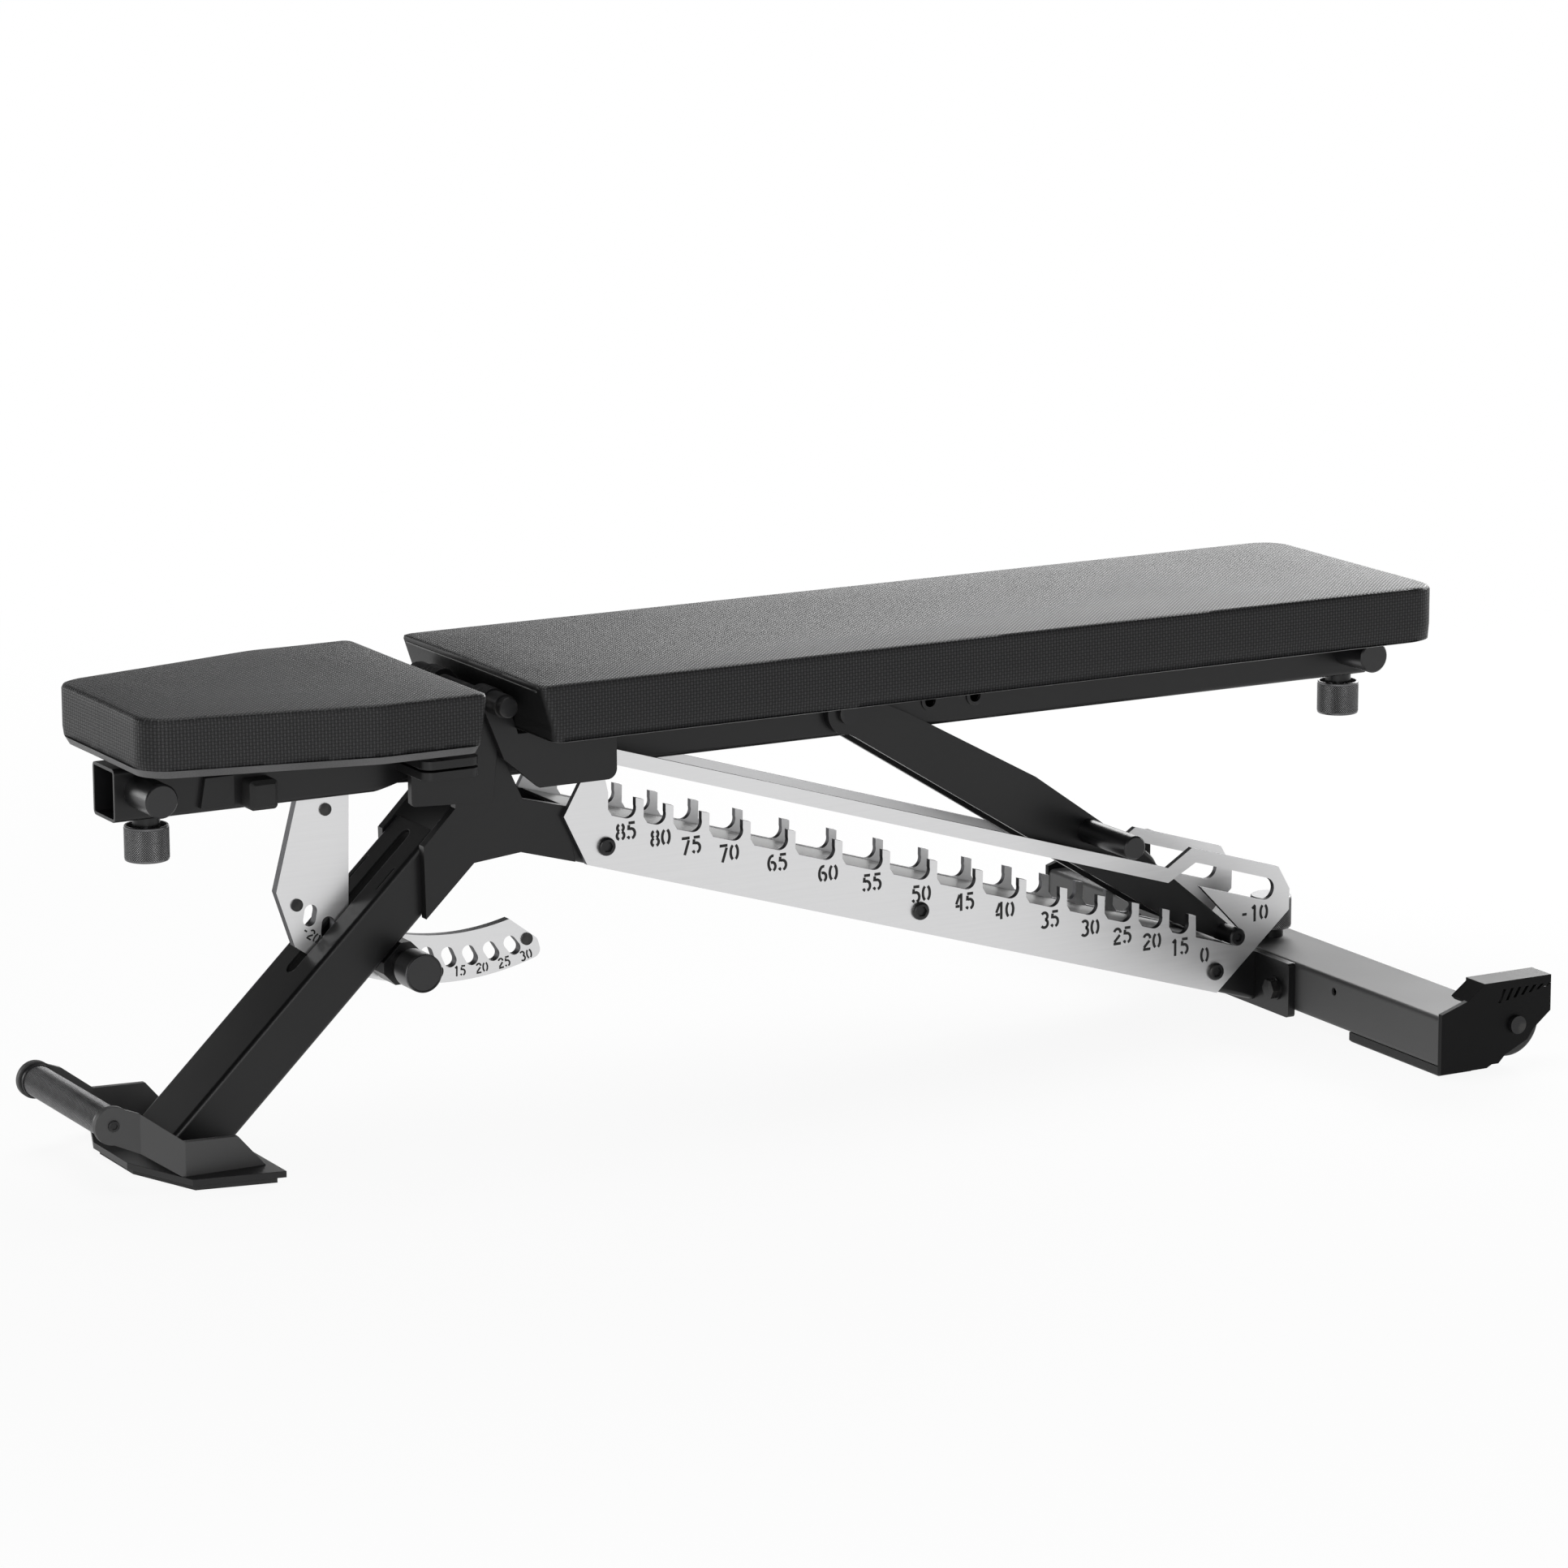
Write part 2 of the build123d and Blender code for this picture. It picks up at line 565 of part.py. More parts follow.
def ladder_face():
    """Notched ladder: closed loop with a rail, hook notches, the flat notch and the decline slot."""
    pin_hole_radius = LADDER_PIN_RADIUS + LADDER_PIN_CLEAR
    floor = LADDER_PIN_HEIGHT - pin_hole_radius
    seats = [notch_along(angle) for angle in notch_angles]
    flat = rest_pin_along
    plate = outline(
        *[
            ladder_at(*point)
            for point in (
                (0, 0),
                (-37.5, 40),
                (-29.5, 74),
                (-20, RAIL_HIGH),
                (flat - 101, RAIL_HIGH),
                (flat - 79, RAIL_REAR_HIGH),
                (flat + 30, RAIL_REAR_HIGH),
                (flat + 50, 119),
                (flat + 56, 98),
                (flat - 4, 0),
            )
        ]
    )
    slot_low, slot_high = 101.5, 124.5
    slot_radius = (slot_high - slot_low) / 2
    slot_end = flat + 20
    last_tooth = seats[-1] + 0.6 * pin_hole_radius + TOOTH_WIDTH
    corridor = outline(
        *[
            ladder_at(*point)
            for point in (
                (seats[0] - 25, TOOTH_HEIGHT),
                (-13, RAIL_LOW),
                (flat - 96, RAIL_LOW),
                (flat - 70, slot_high),
                (slot_end, slot_high),
                (slot_end, slot_low),
                (flat - 57, slot_low),
                (flat + 2, LADDER_PIN_HEIGHT + pin_hole_radius - 0.6),
                (flat, floor),
                (last_tooth + TOOTH_SLANT, floor),
                (last_tooth, TOOTH_HEIGHT),
            )
        ]
    )
    corridor += Pos(*ladder_at(slot_end, (slot_low + slot_high) / 2)) * Circle(slot_radius)
    corridor += Pos(*ladder_at(flat, LADDER_PIN_HEIGHT)) * Circle(pin_hole_radius)
    wall = seats[0] - 25
    for seat in seats:
        corridor += Pos(*ladder_at(seat, LADDER_PIN_HEIGHT)) * Circle(pin_hole_radius)
        corridor += outline(
            *[
                ladder_at(*point)
                for point in (
                    (wall, TOOTH_HEIGHT + 1),
                    (wall + 0.7 * TOOTH_SLANT, floor + 5),
                    (wall + 1.5 * TOOTH_SLANT, floor),
                    (seat, floor),
                    (seat + pin_hole_radius, LADDER_PIN_HEIGHT),
                    (seat + 0.6 * pin_hole_radius, TOOTH_HEIGHT + 1),
                )
            ]
        )
        wall = seat + 0.6 * pin_hole_radius + TOOTH_WIDTH
    return plate - corridor


ladder_plate_left = slab(ladder_face(), -ladder_out, -spine_half)
ladder_screw_list = []
for along in ladder_screws_along:
    screw_x, screw_z = ladder_at(along, LADDER_SCREW_HEIGHT)
    ladder_plate_left -= rod_y(screw_x, screw_z, SCREW_RADIUS + SCREW_CLEAR, -ladder_out, -spine_half)
    ladder_screw_list.append(button_screw(screw_x, screw_z, -ladder_out, LADDER_THICK + TUBE_WALL + 5))
ladder_screws = Compound(children=ladder_screw_list + [other_side(s) for s in ladder_screw_list])

# Rear foot
flange_low, flange_high = 4.0, rear_tube_top
flange_profile = Pos(0, (flange_low + flange_high) / 2) * RectangleRounded(2 * FLANGE_HALF, flange_high - flange_low, 4)
flange_plane = Plane(origin=(spine_end_x, 0, 0), x_dir=(0, 1, 0), z_dir=(1, 0, 0))
spine_flange = extrude(flange_plane * flange_profile, amount=FLANGE_THICK)
rear_section_plane = Plane(
    origin=((rear_tube_front + rear_tube_back) / 2, -REAR_FOOT_HALF, (rear_tube_low + rear_tube_top) / 2),
    x_dir=(1, 0, 0),
    z_dir=(0, 1, 0),
)
rear_foot_tube = tube(rear_section_plane, REAR_TUBE_DEPTH, REAR_TUBE_HEIGHT, 2 * REAR_FOOT_HALF)
wheel_x = rear_tube_front + WHEEL_AXLE_BEHIND
pocket_front = wheel_x - WHEEL_RADIUS - 6
flange_bolt_list = []
for side in (-1, 1):
    pocket = sorted((side * (REAR_FOOT_HALF - WHEEL_POCKET), side * (REAR_FOOT_HALF + 1)))
    rear_foot_tube -= block(pocket_front, rear_tube_back + 1, *pocket, 0, rear_tube_top + 1)
    bolt_plane = Plane(origin=(spine_end_x, side * FLANGE_BOLT_Y, 30), x_dir=(0, 1, 0), z_dir=(1, 0, 0))
    bolt_way = extrude(
        bolt_plane * Circle(FLANGE_BOLT_RADIUS + SCREW_CLEAR), amount=FLANGE_THICK + TUBE_WALL + 1
    )
    spine_flange -= bolt_way
    rear_foot_tube -= bolt_way
    hexagon = RegularPolygon(FLANGE_BOLT_FLATS / 2, 6, major_radius=False)
    bolt = extrude(bolt_plane * hexagon, amount=-FLANGE_BOLT_HEAD)
    bolt += extrude(bolt_plane * Circle(FLANGE_BOLT_FLATS / 2 + 3), amount=-2)
    bolt += extrude(bolt_plane * Circle(FLANGE_BOLT_RADIUS), amount=FLANGE_THICK + TUBE_WALL + 8)
    flange_bolt_list.append(bolt)
    peg_plane = Plane(origin=(rear_tube_front, side * 180, 46), x_dir=(0, 1, 0), z_dir=(1, 0, 0))
    rear_foot_tube -= extrude(peg_plane * Circle(4), amount=TUBE_WALL + 1)
flange_bolts = Compound(children=flange_bolt_list)

END_TOP_Z = 89.0
END_LENGTH = 128.0
END_LIP = 26.0
END_TAB = 22.0


def end_plate():
    """Folded end plate with a top lip, a bent tab, vent slots and a cut-back for the wheel."""
    low, front = 4.0, rear_tube_front - 1
    end_rear_x = rear_tube_front + END_LENGTH
    face = outline(
        (front, rear_tube_top + 4),
        (front, low),
        (front + 54, low),
        (front + 60, low + 3),
        (front + 68, low + 3),
        (front + 76, low + 11),
        (wheel_x + 14, 27),
        (wheel_x + 21, 37),
        (end_rear_x, 53),
        (end_rear_x, END_TOP_Z),
        (front + 50, END_TOP_Z),
        (front + 30, rear_tube_top + 14),
    )
    y_out = -REAR_FOOT_HALF - END_PLATE_THICK
    plate = slab(face, y_out, -REAR_FOOT_HALF)
    lip = block(
        front + 50, end_rear_x, -REAR_FOOT_HALF, -REAR_FOOT_HALF + END_LIP, END_TOP_Z - END_PLATE_THICK, END_TOP_Z
    )
    tab = outline(
        (front + 30, rear_tube_top + 14),
        (front + 50, END_TOP_Z),
        (front + 50 + 4, END_TOP_Z - 4),
        (front + 34, rear_tube_top + 10),
    )
    plate += lip + slab(tab, -REAR_FOOT_HALF, -REAR_FOOT_HALF + END_TAB)
    for i in range(7):
        slot_x = front + 66 + i * 9
        slot_low = rear_tube_top + 8 + i * 1.6
        slot = outline((slot_x, slot_low), (slot_x + 3.5, slot_low), (slot_x + 9.5, 81), (slot_x + 6, 81))
        plate -= slab(slot, y_out, -REAR_FOOT_HALF)
    return plate - rod_y(wheel_x, WHEEL_AXLE_Z, WHEEL_AXLE_RADIUS + 0.02, y_out, -REAR_FOOT_HALF)


rear_end_plate_left = end_plate()
rear_pad_low, rear_pad_high = REAR_FOOT_HALF - REAR_PAD_LENGTH, REAR_FOOT_HALF - 3
rear_pad = block(rear_tube_front + 2, pocket_front - 2, -rear_pad_high, -rear_pad_low, 0, REAR_PAD_THICK)
rear_pad = chamfer(rear_pad.edges().group_by(Axis.Z)[0], 2)
rear_foot_pads = Compound(children=[rear_pad, other_side(rear_pad)])

wheel_out = REAR_FOOT_HALF - 4
wheel_in = wheel_out - WHEEL_WIDTH
axle_face = -REAR_FOOT_HALF - END_PLATE_THICK
wheel_axle = rod_y(wheel_x, WHEEL_AXLE_Z, WHEEL_AXLE_RADIUS, axle_face, -wheel_in + 3)
wheel_axle += rod_y(wheel_x, WHEEL_AXLE_Z, SCREW_HEAD_RADIUS, axle_face - SCREW_HEAD_THICK, axle_face)
wheel_axle += rod_y(wheel_x, WHEEL_AXLE_Z, SCREW_HEAD_RADIUS - 1, -wheel_in + 0.5, -wheel_in + 3)
wheel_axle += rod_y(wheel_x, WHEEL_AXLE_Z, SCREW_HEAD_RADIUS - 1, -REAR_FOOT_HALF, -wheel_out - 0.5)
wheel_axles = Compound(children=[wheel_axle, other_side(wheel_axle)])
wheel_left = rod_y(wheel_x, WHEEL_AXLE_Z, WHEEL_RADIUS, -wheel_out, -wheel_in)
wheel_left = fillet(wheel_left.edges().filter_by(GeomType.CIRCLE), 4)
for y_low, y_high in ((-wheel_out, -wheel_out + 3), (-wheel_in - 3, -wheel_in)):
    dish = Pos(wheel_x, WHEEL_AXLE_Z) * (Circle(WHEEL_RADIUS - 8) - Circle(SCREW_HEAD_RADIUS + 1))
    wheel_left -= slab(dish, y_low, y_high)
wheel_left -= rod_y(wheel_x, WHEEL_AXLE_Z, WHEEL_AXLE_RADIUS + AXLE_CLEAR, -wheel_out, -wheel_in)

# Pull pin on the rear foot
rear_pin_x = (rear_tube_front + rear_tube_back) / 2 + REAR_PIN_BEHIND
rear_pin_face = Plane((rear_pin_x, 0, rear_tube_top))
rear_pin_housing, rear_pin = pull_pin(rear_pin_face)
rear_foot_tube -= pin_hole(rear_pin_face, TUBE_WALL)

# Cheeks under the leg that guide the sector and hold its pop pin
CHEEK_IN = 9.0
CHEEK_OUT = LEG_WIDTH / 2 + 1
CHEEK_FLATS = 40.0
SECTOR_STEM_OUT = 58.0
SECTOR_KNOB_OUT = 86.0
SECTOR_KNOB_RADIUS = 18.5
SECTOR_TIP_GAP = 0.3
cheek_face = Pos(*sector_pin) * Rot(0, 0, 22.5) * RegularPolygon(CHEEK_FLATS / 2, 8, major_radius=False)
above_low, above_high = leg_at(-200, -LEG_DEPTH / 2), leg_at(100, -LEG_DEPTH / 2)
above_leg = outline(above_low, above_high, leg_at(100, 200), leg_at(-200, 200))
cheek_face -= above_leg
cheek_face -= Pos(*sector_pin) * Circle(PIN_SHAFT_RADIUS + PIN_CLEAR)
cheek = slab(cheek_face, -CHEEK_OUT, -CHEEK_IN)
sector_lock_cheeks = Compound(children=[cheek, other_side(cheek)])
stem_ring = Circle(12) - Circle(PIN_SHAFT_RADIUS + PIN_CLEAR)
sector_pin_housing = slab(Pos(*sector_pin) * stem_ring, -SECTOR_STEM_OUT, -CHEEK_OUT)
sector_plunger = rod_y(
    *sector_pin, PIN_SHAFT_RADIUS, -SECTOR_STEM_OUT - PIN_CLEAR, -SECTOR_THICK / 2 - SECTOR_TIP_GAP
)
sector_knob = rod_y(*sector_pin, SECTOR_KNOB_RADIUS, -SECTOR_KNOB_OUT, -SECTOR_STEM_OUT - PIN_CLEAR)
sector_knob = chamfer(sector_knob.edges().filter_by(GeomType.CIRCLE), 1.5)
sector_plunger += sector_knob

# Back assembly
back_cushion = cushion(back_corners)
back_board = board(back_corners)
back_tube_front = AXLE_X + 30.5
back_tube = pad_tube(back_tube_front, BACK_PAD_REAR_X - 3)
strut_bolt_hole = rod_y(STRUT_PIVOT_X, pad_tube_mid, STRUT_PIVOT_RADIUS + 0.02, -tube_half, tube_half)
back_tube -= strut_bolt_hole
bush_list = []
for peg_x in PEG_HOLE_XS:
    back_tube -= rod_y(peg_x, pad_tube_mid, PEG_BUSH_RADIUS + 0.02, -tube_half, tube_half)
    bush = rod_y(peg_x, pad_tube_mid, PEG_BUSH_RIM, -tube_half - PEG_RIM_THICK, -tube_half)
    bush += rod_y(peg_x, pad_tube_mid, PEG_BUSH_RADIUS, -tube_half, -tube_half + TUBE_WALL)
    bush -= rod_y(peg_x, pad_tube_mid, PEG_HOLE_RADIUS, -tube_half - PEG_RIM_THICK, -tube_half + TUBE_WALL)
    bush_list.append(bush)
peg_bushes = Compound(children=bush_list + [other_side(b) for b in bush_list])

back_pin_face = Plane(origin=(BACK_PIN_X, 0, pad_tube_low), x_dir=(1, 0, 0), z_dir=(0, 0, -1))
back_pin_housing, back_pin = pull_pin(back_pin_face)
back_tube -= pin_hole(back_pin_face, TUBE_WALL)

HINGE_PLATE_REAR_X = -167.0
hinge_plate_front = AXLE_X + 33.0
hinge_plate_plan = RectangleRounded(HINGE_PLATE_REAR_X - hinge_plate_front, 2 * back_bracket_out, 4)
hinge_plate_middle = (HINGE_PLATE_REAR_X + hinge_plate_front) / 2
back_hinge_plate = extrude(Plane((hinge_plate_middle, 0, pad_tube_top)) * hinge_plate_plan, amount=CROSS_PLATE_THICK)
back_cross_plates = Compound(children=[cross_plate(x, CROSS_PLATE_HALF) for x in BACK_PLATE_XS])

rake_length = hypot(1, BACK_FRONT_RAKE)
rake_normal = (1 / rake_length, BACK_FRONT_RAKE / rake_length)
bracket_touch = (AXLE_X + LOBE_RADIUS * rake_normal[0], axle_z + LOBE_RADIUS * rake_normal[1])
bracket_under = (bracket_touch[0] + (bracket_touch[1] - pad_tube_top) * BACK_FRONT_RAKE, pad_tube_top)
BRACKET_BELOW_TUBE = 4.0
BRACKET_CORNER = 10.0
bracket_low = pad_tube_low - BRACKET_BELOW_TUBE
bracket_face = outline(
    (AXLE_X - LOBE_RADIUS, axle_z),
    (AXLE_X + 10, pad_tube_mid + 2),
    (AXLE_X + 47, bracket_low),
    (HINGE_PLATE_REAR_X, bracket_low),
    (HINGE_PLATE_REAR_X, pad_tube_top),
    bracket_under,
    bracket_touch,
)
bracket_heel = bracket_face.vertices().group_by(Axis.Y)[0].sort_by(Axis.X)[-1]
bracket_face = fillet(bracket_heel, BRACKET_CORNER)
bracket_face += Pos(*AXLE) * Circle(LOBE_RADIUS)
bracket_face -= Pos(*AXLE) * Circle(AXLE_RADIUS + AXLE_CLEAR)
back_bracket_left = slab(bracket_face, -back_bracket_out, -back_bracket_in)


def handle_stub(x):
    """Short round handle welded to the side of a pad tube."""
    stub = rod_y(x, pad_tube_mid + HANDLE_RISE, HANDLE_RADIUS, -HANDLE_HALF, -tube_half)
    return chamfer(stub.edges().filter_by(GeomType.CIRCLE).sort_by(Axis.Y)[0], 1.5)


back_stub = handle_stub(BACK_HANDLE_X)
back_handles = Compound(children=[back_stub, other_side(back_stub)])

# Strut: two plates that straddle the back tube, a cross handle and the ladder pin
STRUT_LOW = -17.0
strut_face = outline(
    *[
        strut_at(*point)
        for point in (
            (-6, -20),
            (20, STRUT_LOW),
            (STRUT_LENGTH - 62, STRUT_LOW),
            (STRUT_LENGTH - 2, -9.3),
            (STRUT_LENGTH + 2, 9.3),
            (STRUT_HANDLE_ALONG + 60, 29),
            (STRUT_HANDLE_ALONG + 6, 33.5),
            (STRUT_HANDLE_ALONG - 85, 39),
            (62, 29.5),
            (0, 22),
        )
    ]
)
strut_face += Pos(STRUT_PIVOT_X, pad_tube_mid) * Circle(22)
strut_face += Pos(*rest_pin) * Circle(LADDER_PIN_RADIUS + 0.5)
strut_face -= Pos(STRUT_PIVOT_X, pad_tube_mid) * Circle(STRUT_PIVOT_RADIUS + AXLE_CLEAR)
strut_face -= Pos(*strut_at(STRUT_HANDLE_ALONG, STRUT_HANDLE_ABOVE)) * Circle(STRUT_HANDLE_RADIUS + 0.02)
strut_tip = slab(Pos(*rest_pin) * Circle(LADDER_PIN_RADIUS - 2.5), -strut_out, -strut_in)
strut_plate_left = slab(strut_face, -strut_out, -strut_in) - strut_tip
handle_at = strut_at(STRUT_HANDLE_ALONG, STRUT_HANDLE_ABOVE)
strut_handle = rod_y(*handle_at, STRUT_HANDLE_RADIUS, -STRUT_HANDLE_HALF, STRUT_HANDLE_HALF)
strut_handle = chamfer(strut_handle.edges().filter_by(GeomType.CIRCLE), 1.5)
pin_end = spine_half - LADDER_SIDE_CLEAR
ladder_pin = rod_y(*rest_pin, LADDER_PIN_RADIUS - 2.52, -strut_out, strut_out)
for end in (-1, 1):
    pin_low, pin_high = sorted((end * strut_out, end * pin_end))
    ladder_pin += rod_y(*rest_pin, LADDER_PIN_RADIUS, pin_low, pin_high)

bolt_reach = strut_out + SIDE_GAP
strut_pivot_bolt = rod_y(STRUT_PIVOT_X, pad_tube_mid, STRUT_PIVOT_RADIUS, -bolt_reach, bolt_reach)
for end in (-1, 1):
    head_low, head_high = sorted((end * bolt_reach, end * (bolt_reach + SCREW_HEAD_THICK)))
    strut_pivot_bolt += rod_y(STRUT_PIVOT_X, pad_tube_mid, STRUT_PIVOT_RADIUS + 4, head_low, head_high)

# Seat assembly
SEAT_TUBE_FRONT_X = -660.5
SEAT_TUBE_REAR_X = -323.5
SEAT_TUBE_CUT_X = -400.5
SEAT_TUBE_CUT_RISE = 22.0
seat_cushion = cushion(seat_corners)
seat_board = board(seat_corners)
seat_tube = pad_tube(SEAT_TUBE_FRONT_X, SEAT_TUBE_REAR_X)
tube_cut = outline(
    (SEAT_TUBE_CUT_X, pad_tube_low - 1),
    (SEAT_TUBE_REAR_X + 1, pad_tube_low - 1),
    (SEAT_TUBE_REAR_X + 1, pad_tube_low + SEAT_TUBE_CUT_RISE),
    (SEAT_TUBE_CUT_X, pad_tube_low),
)
seat_tube -= slab(tube_cut, -PAD_TUBE, PAD_TUBE)
seat_pin_face = Plane(origin=(SEAT_PIN_X, 0, pad_tube_low), x_dir=(1, 0, 0), z_dir=(0, 0, -1))
seat_pin_housing, seat_pin = pull_pin(seat_pin_face)
seat_tube -= pin_hole(seat_pin_face, TUBE_WALL)
seat_cross_plates = Compound(
    children=[
        cross_plate(SEAT_PLATE_XS[0], SEAT_FRONT_WIDTH / 2 - 20),
        cross_plate(SEAT_PLATE_XS[1], CROSS_PLATE_HALF),
    ]
)
seat_handles = handle_stub(SEAT_HANDLE_X)

WING_FRONT_X = -377.5
WING_BRIDGE_X = -358.0
WING_REAR_X = -319.5
WING_ABOVE_TUBE_LOW = 19.5
WING_THICK = 8.0
WING_SPACE = 2.4
WING_OUT = 88.0
WING_CORNER = 10.0
EAR_BELOW_TUBE = 10.0
wing_low = pad_tube_low + WING_ABOVE_TUBE_LOW
ear_low = pad_tube_low - EAR_BELOW_TUBE
wing_plan = outline(
    (WING_FRONT_X, -tube_half),
    (WING_BRIDGE_X, -tube_half),
    (WING_BRIDGE_X, -seat_bracket_in),
    (WING_REAR_X, -seat_bracket_in),
    (WING_REAR_X, -WING_OUT),
    (WING_FRONT_X, -WING_OUT),
)
wing_plan = fillet(wing_plan.vertices().group_by(Axis.Y)[0], WING_CORNER)
wing_levels = (wing_low, wing_low + WING_THICK + WING_SPACE)
wings = [plan_plate(wing_plan, z, WING_THICK) for z in wing_levels]
seat_wings_left = Compound(children=wings)
seat_wings_right = Compound(children=[other_side(wing) for wing in wings])
wing_top = wing_levels[1] + WING_THICK
seat_bracket_face = outline(
    (WING_FRONT_X, wing_low),
    (WING_FRONT_X, ear_low + 3),
    (WING_FRONT_X + 3, ear_low),
    (AXLE_X + 2, ear_low - 4),
    (AXLE_X + 6, pad_tube_mid),
    (AXLE_X + LOBE_RADIUS, axle_z),
    (AXLE_X - LOBE_RADIUS, axle_z),
    (WING_REAR_X, wing_top),
    (WING_REAR_X, wing_low),
)
seat_bracket_face += Pos(*AXLE) * Circle(LOBE_RADIUS)
seat_bracket_face -= Pos(*AXLE) * Circle(AXLE_RADIUS + AXLE_CLEAR)
seat_bracket_left = slab(seat_bracket_face, -seat_bracket_out, -seat_bracket_in)


def sector_face():
    """Seat sector: stem plate under the tube that runs into a slotted arc."""
    stem = outline(
        (AXLE_X - 174, pad_tube_low),
        (AXLE_X - 197.5, axle_z - 172),
        sector_at(-38.5, SECTOR_OUTER + 8.5),
        sector_at(-35.7, SECTOR_OUTER + 7),
        sector_at(-31, SECTOR_INNER + 6),
        sector_at(-33, SECTOR_INNER - 6),
        (AXLE_X - 121.5, pad_tube_low),
    )
    ring = Pos(AXLE_X - SECTOR_ARC_SHIFT, axle_z) * (Circle(SECTOR_OUTER) - Circle(SECTOR_INNER))
    reach = 2 * SECTOR_OUTER
    wedge = outline(AXLE, sector_at(-38, reach), sector_at(-15, reach), sector_at(16.4, reach))
    heel = (sector_at(10.9, SECTOR_INNER - 40), sector_at(10.9, SECTOR_INNER - 3.2), sector_at(16.4, SECTOR_OUTER - 21))
    arc = ring & wedge
    arc -= outline(*heel, sector_at(25, SECTOR_OUTER - 21), sector_at(25, SECTOR_INNER - 40))
    arc = fillet(arc.vertices().sort_by(Axis.X)[-2:], 8)
    face = stem + arc
    for label in SECTOR_LABELS:
        angle = label - SECTOR_PIN_ANGLE
        x, z = sector_at(angle, SECTOR_SLOT_RADIUS)
        slot = SlotOverall(SECTOR_SLOT_LENGTH, SECTOR_SLOT_WIDTH)
        face -= Pos(x, z) * Rot(0, 0, angle + SECTOR_SLOT_LEAN) * slot
    return face


seat_sector = slab(sector_face(), -SECTOR_THICK / 2, SECTOR_THICK / 2)
SECTOR_SCREW_RADIUS = 6.0
SECTOR_SCREW_HEAD = 1.5
screw_points = ((AXLE_X - 146, axle_z - 98), (AXLE_X - 177, axle_z - 186), sector_at(14.0, SECTOR_SLOT_RADIUS - 1))
sector_screw_list = []
for x, z in screw_points:
    seat_sector -= rod_y(x, z, SCREW_RADIUS + 0.02, -SECTOR_THICK, SECTOR_THICK)
    half_width = SECTOR_THICK / 2
    screw = rod_y(x, z, SCREW_RADIUS, -half_width, half_width)
    screw += rod_y(x, z, SECTOR_SCREW_RADIUS, -half_width - SECTOR_SCREW_HEAD, -half_width)
    screw += rod_y(x, z, SECTOR_SCREW_RADIUS, half_width, half_width + SECTOR_SCREW_HEAD)
    sector_screw_list.append(screw)
sector_screws = Compound(children=sector_screw_list)

GUSSET_X = (-578.0, -544.0)
gusset_face = outline(
    (GUSSET_X[0], pad_tube_low + 6),
    (GUSSET_X[1], pad_tube_low + 6),
    (GUSSET_X[1], pad_tube_low + 34),
    (GUSSET_X[0] + 5, pad_tube_low + 34),
)
seat_gusset = slab(gusset_face, -tube_half - 6, -tube_half)
BUMPER_X = -520.5
bumper_face = Pos(BUMPER_X, pad_tube_low + 15) * RectangleRounded(28, 28, 4)
seat_bumper = slab(bumper_face, -tube_half - 22, -tube_half)
seat_bumper = chamfer(seat_bumper.faces().sort_by(Axis.Y)[0].edges(), 4)

nodes = {
    "front_foot_plate": front_foot_plate,
    "front_foot_pad": front_foot_pad,
    "front_foot_side_left": front_foot_side_left,
    "front_foot_side_right": other_side(front_foot_side_left),
    "front_grip": front_grip,
    "front_grip_bolts": front_grip_bolts,
    "front_leg": front_leg,
    "neck_plate_left": neck_plate_left,
    "neck_plate_right": other_side(neck_plate_left),
    "hinge_axle": hinge_axle,
    "spine_tube": spine_tube,
    "ladder_plate_left": ladder_plate_left,
    "ladder_plate_right": other_side(ladder_plate_left),
    "ladder_screws": ladder_screws,
    "spine_flange": spine_flange,
    "flange_bolts": flange_bolts,
    "rear_foot_tube": rear_foot_tube,
    "rear_end_plate_left": rear_end_plate_left,
    "rear_end_plate_right": other_side(rear_end_plate_left),
    "rear_foot_pads": rear_foot_pads,
    "wheel_axles": wheel_axles,
    "wheel_left": wheel_left,
    "wheel_right": other_side(wheel_left),
    "rear_pin_housing": rear_pin_housing,
    "rear_pin": rear_pin,
    "sector_lock_cheeks": sector_lock_cheeks,
    "sector_pin_housing": sector_pin_housing,
    "sector_pin": sector_plunger,
    "back_cushion": back_cushion,
    "back_board": back_board,
    "back_tube": back_tube,
    "peg_bushes": peg_bushes,
    "back_hinge_plate": back_hinge_plate,
    "back_cross_plates": back_cross_plates,
    "back_bracket_left": back_bracket_left,
    "back_bracket_right": other_side(back_bracket_left),
    "back_handles": back_handles,
    "back_pin_housing": back_pin_housing,
    "back_pin": back_pin,
    "strut_pivot_bolt": strut_pivot_bolt,
    "strut_plate_left": strut_plate_left,
    "strut_plate_right": other_side(strut_plate_left),
    "strut_handle": strut_handle,
    "ladder_pin": ladder_pin,
    "seat_cushion": seat_cushion,
    "seat_board": seat_board,
    "seat_tube": seat_tube,
    "seat_cross_plates": seat_cross_plates,
    "seat_handles": seat_handles,
    "seat_pin_housing": seat_pin_housing,
    "seat_pin": seat_pin,
    "seat_wings_left": seat_wings_left,
    "seat_wings_right": seat_wings_right,
    "seat_bracket_left": seat_bracket_left,
    "seat_bracket_right": other_side(seat_bracket_left),
    "seat_sector": seat_sector,
    "sector_screws": sector_screws,
    "seat_gusset": seat_gusset,
    "seat_bumper": seat_bumper,
}

os.makedirs("parts", exist_ok=True)
for name, part in nodes.items():
    export_step(part, f"parts/{name}.step")
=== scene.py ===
"""Looks of an adjustable weight bench: woven pads, black frame, silver plates, knurled knobs."""

import json
from math import atan2, cos, pi, radians, sin

import bmesh
import bpy
import numpy as np
from mathutils import Matrix, Vector
from mathutils.bvhtree import BVHTree
from mathutils.kdtree import KDTree


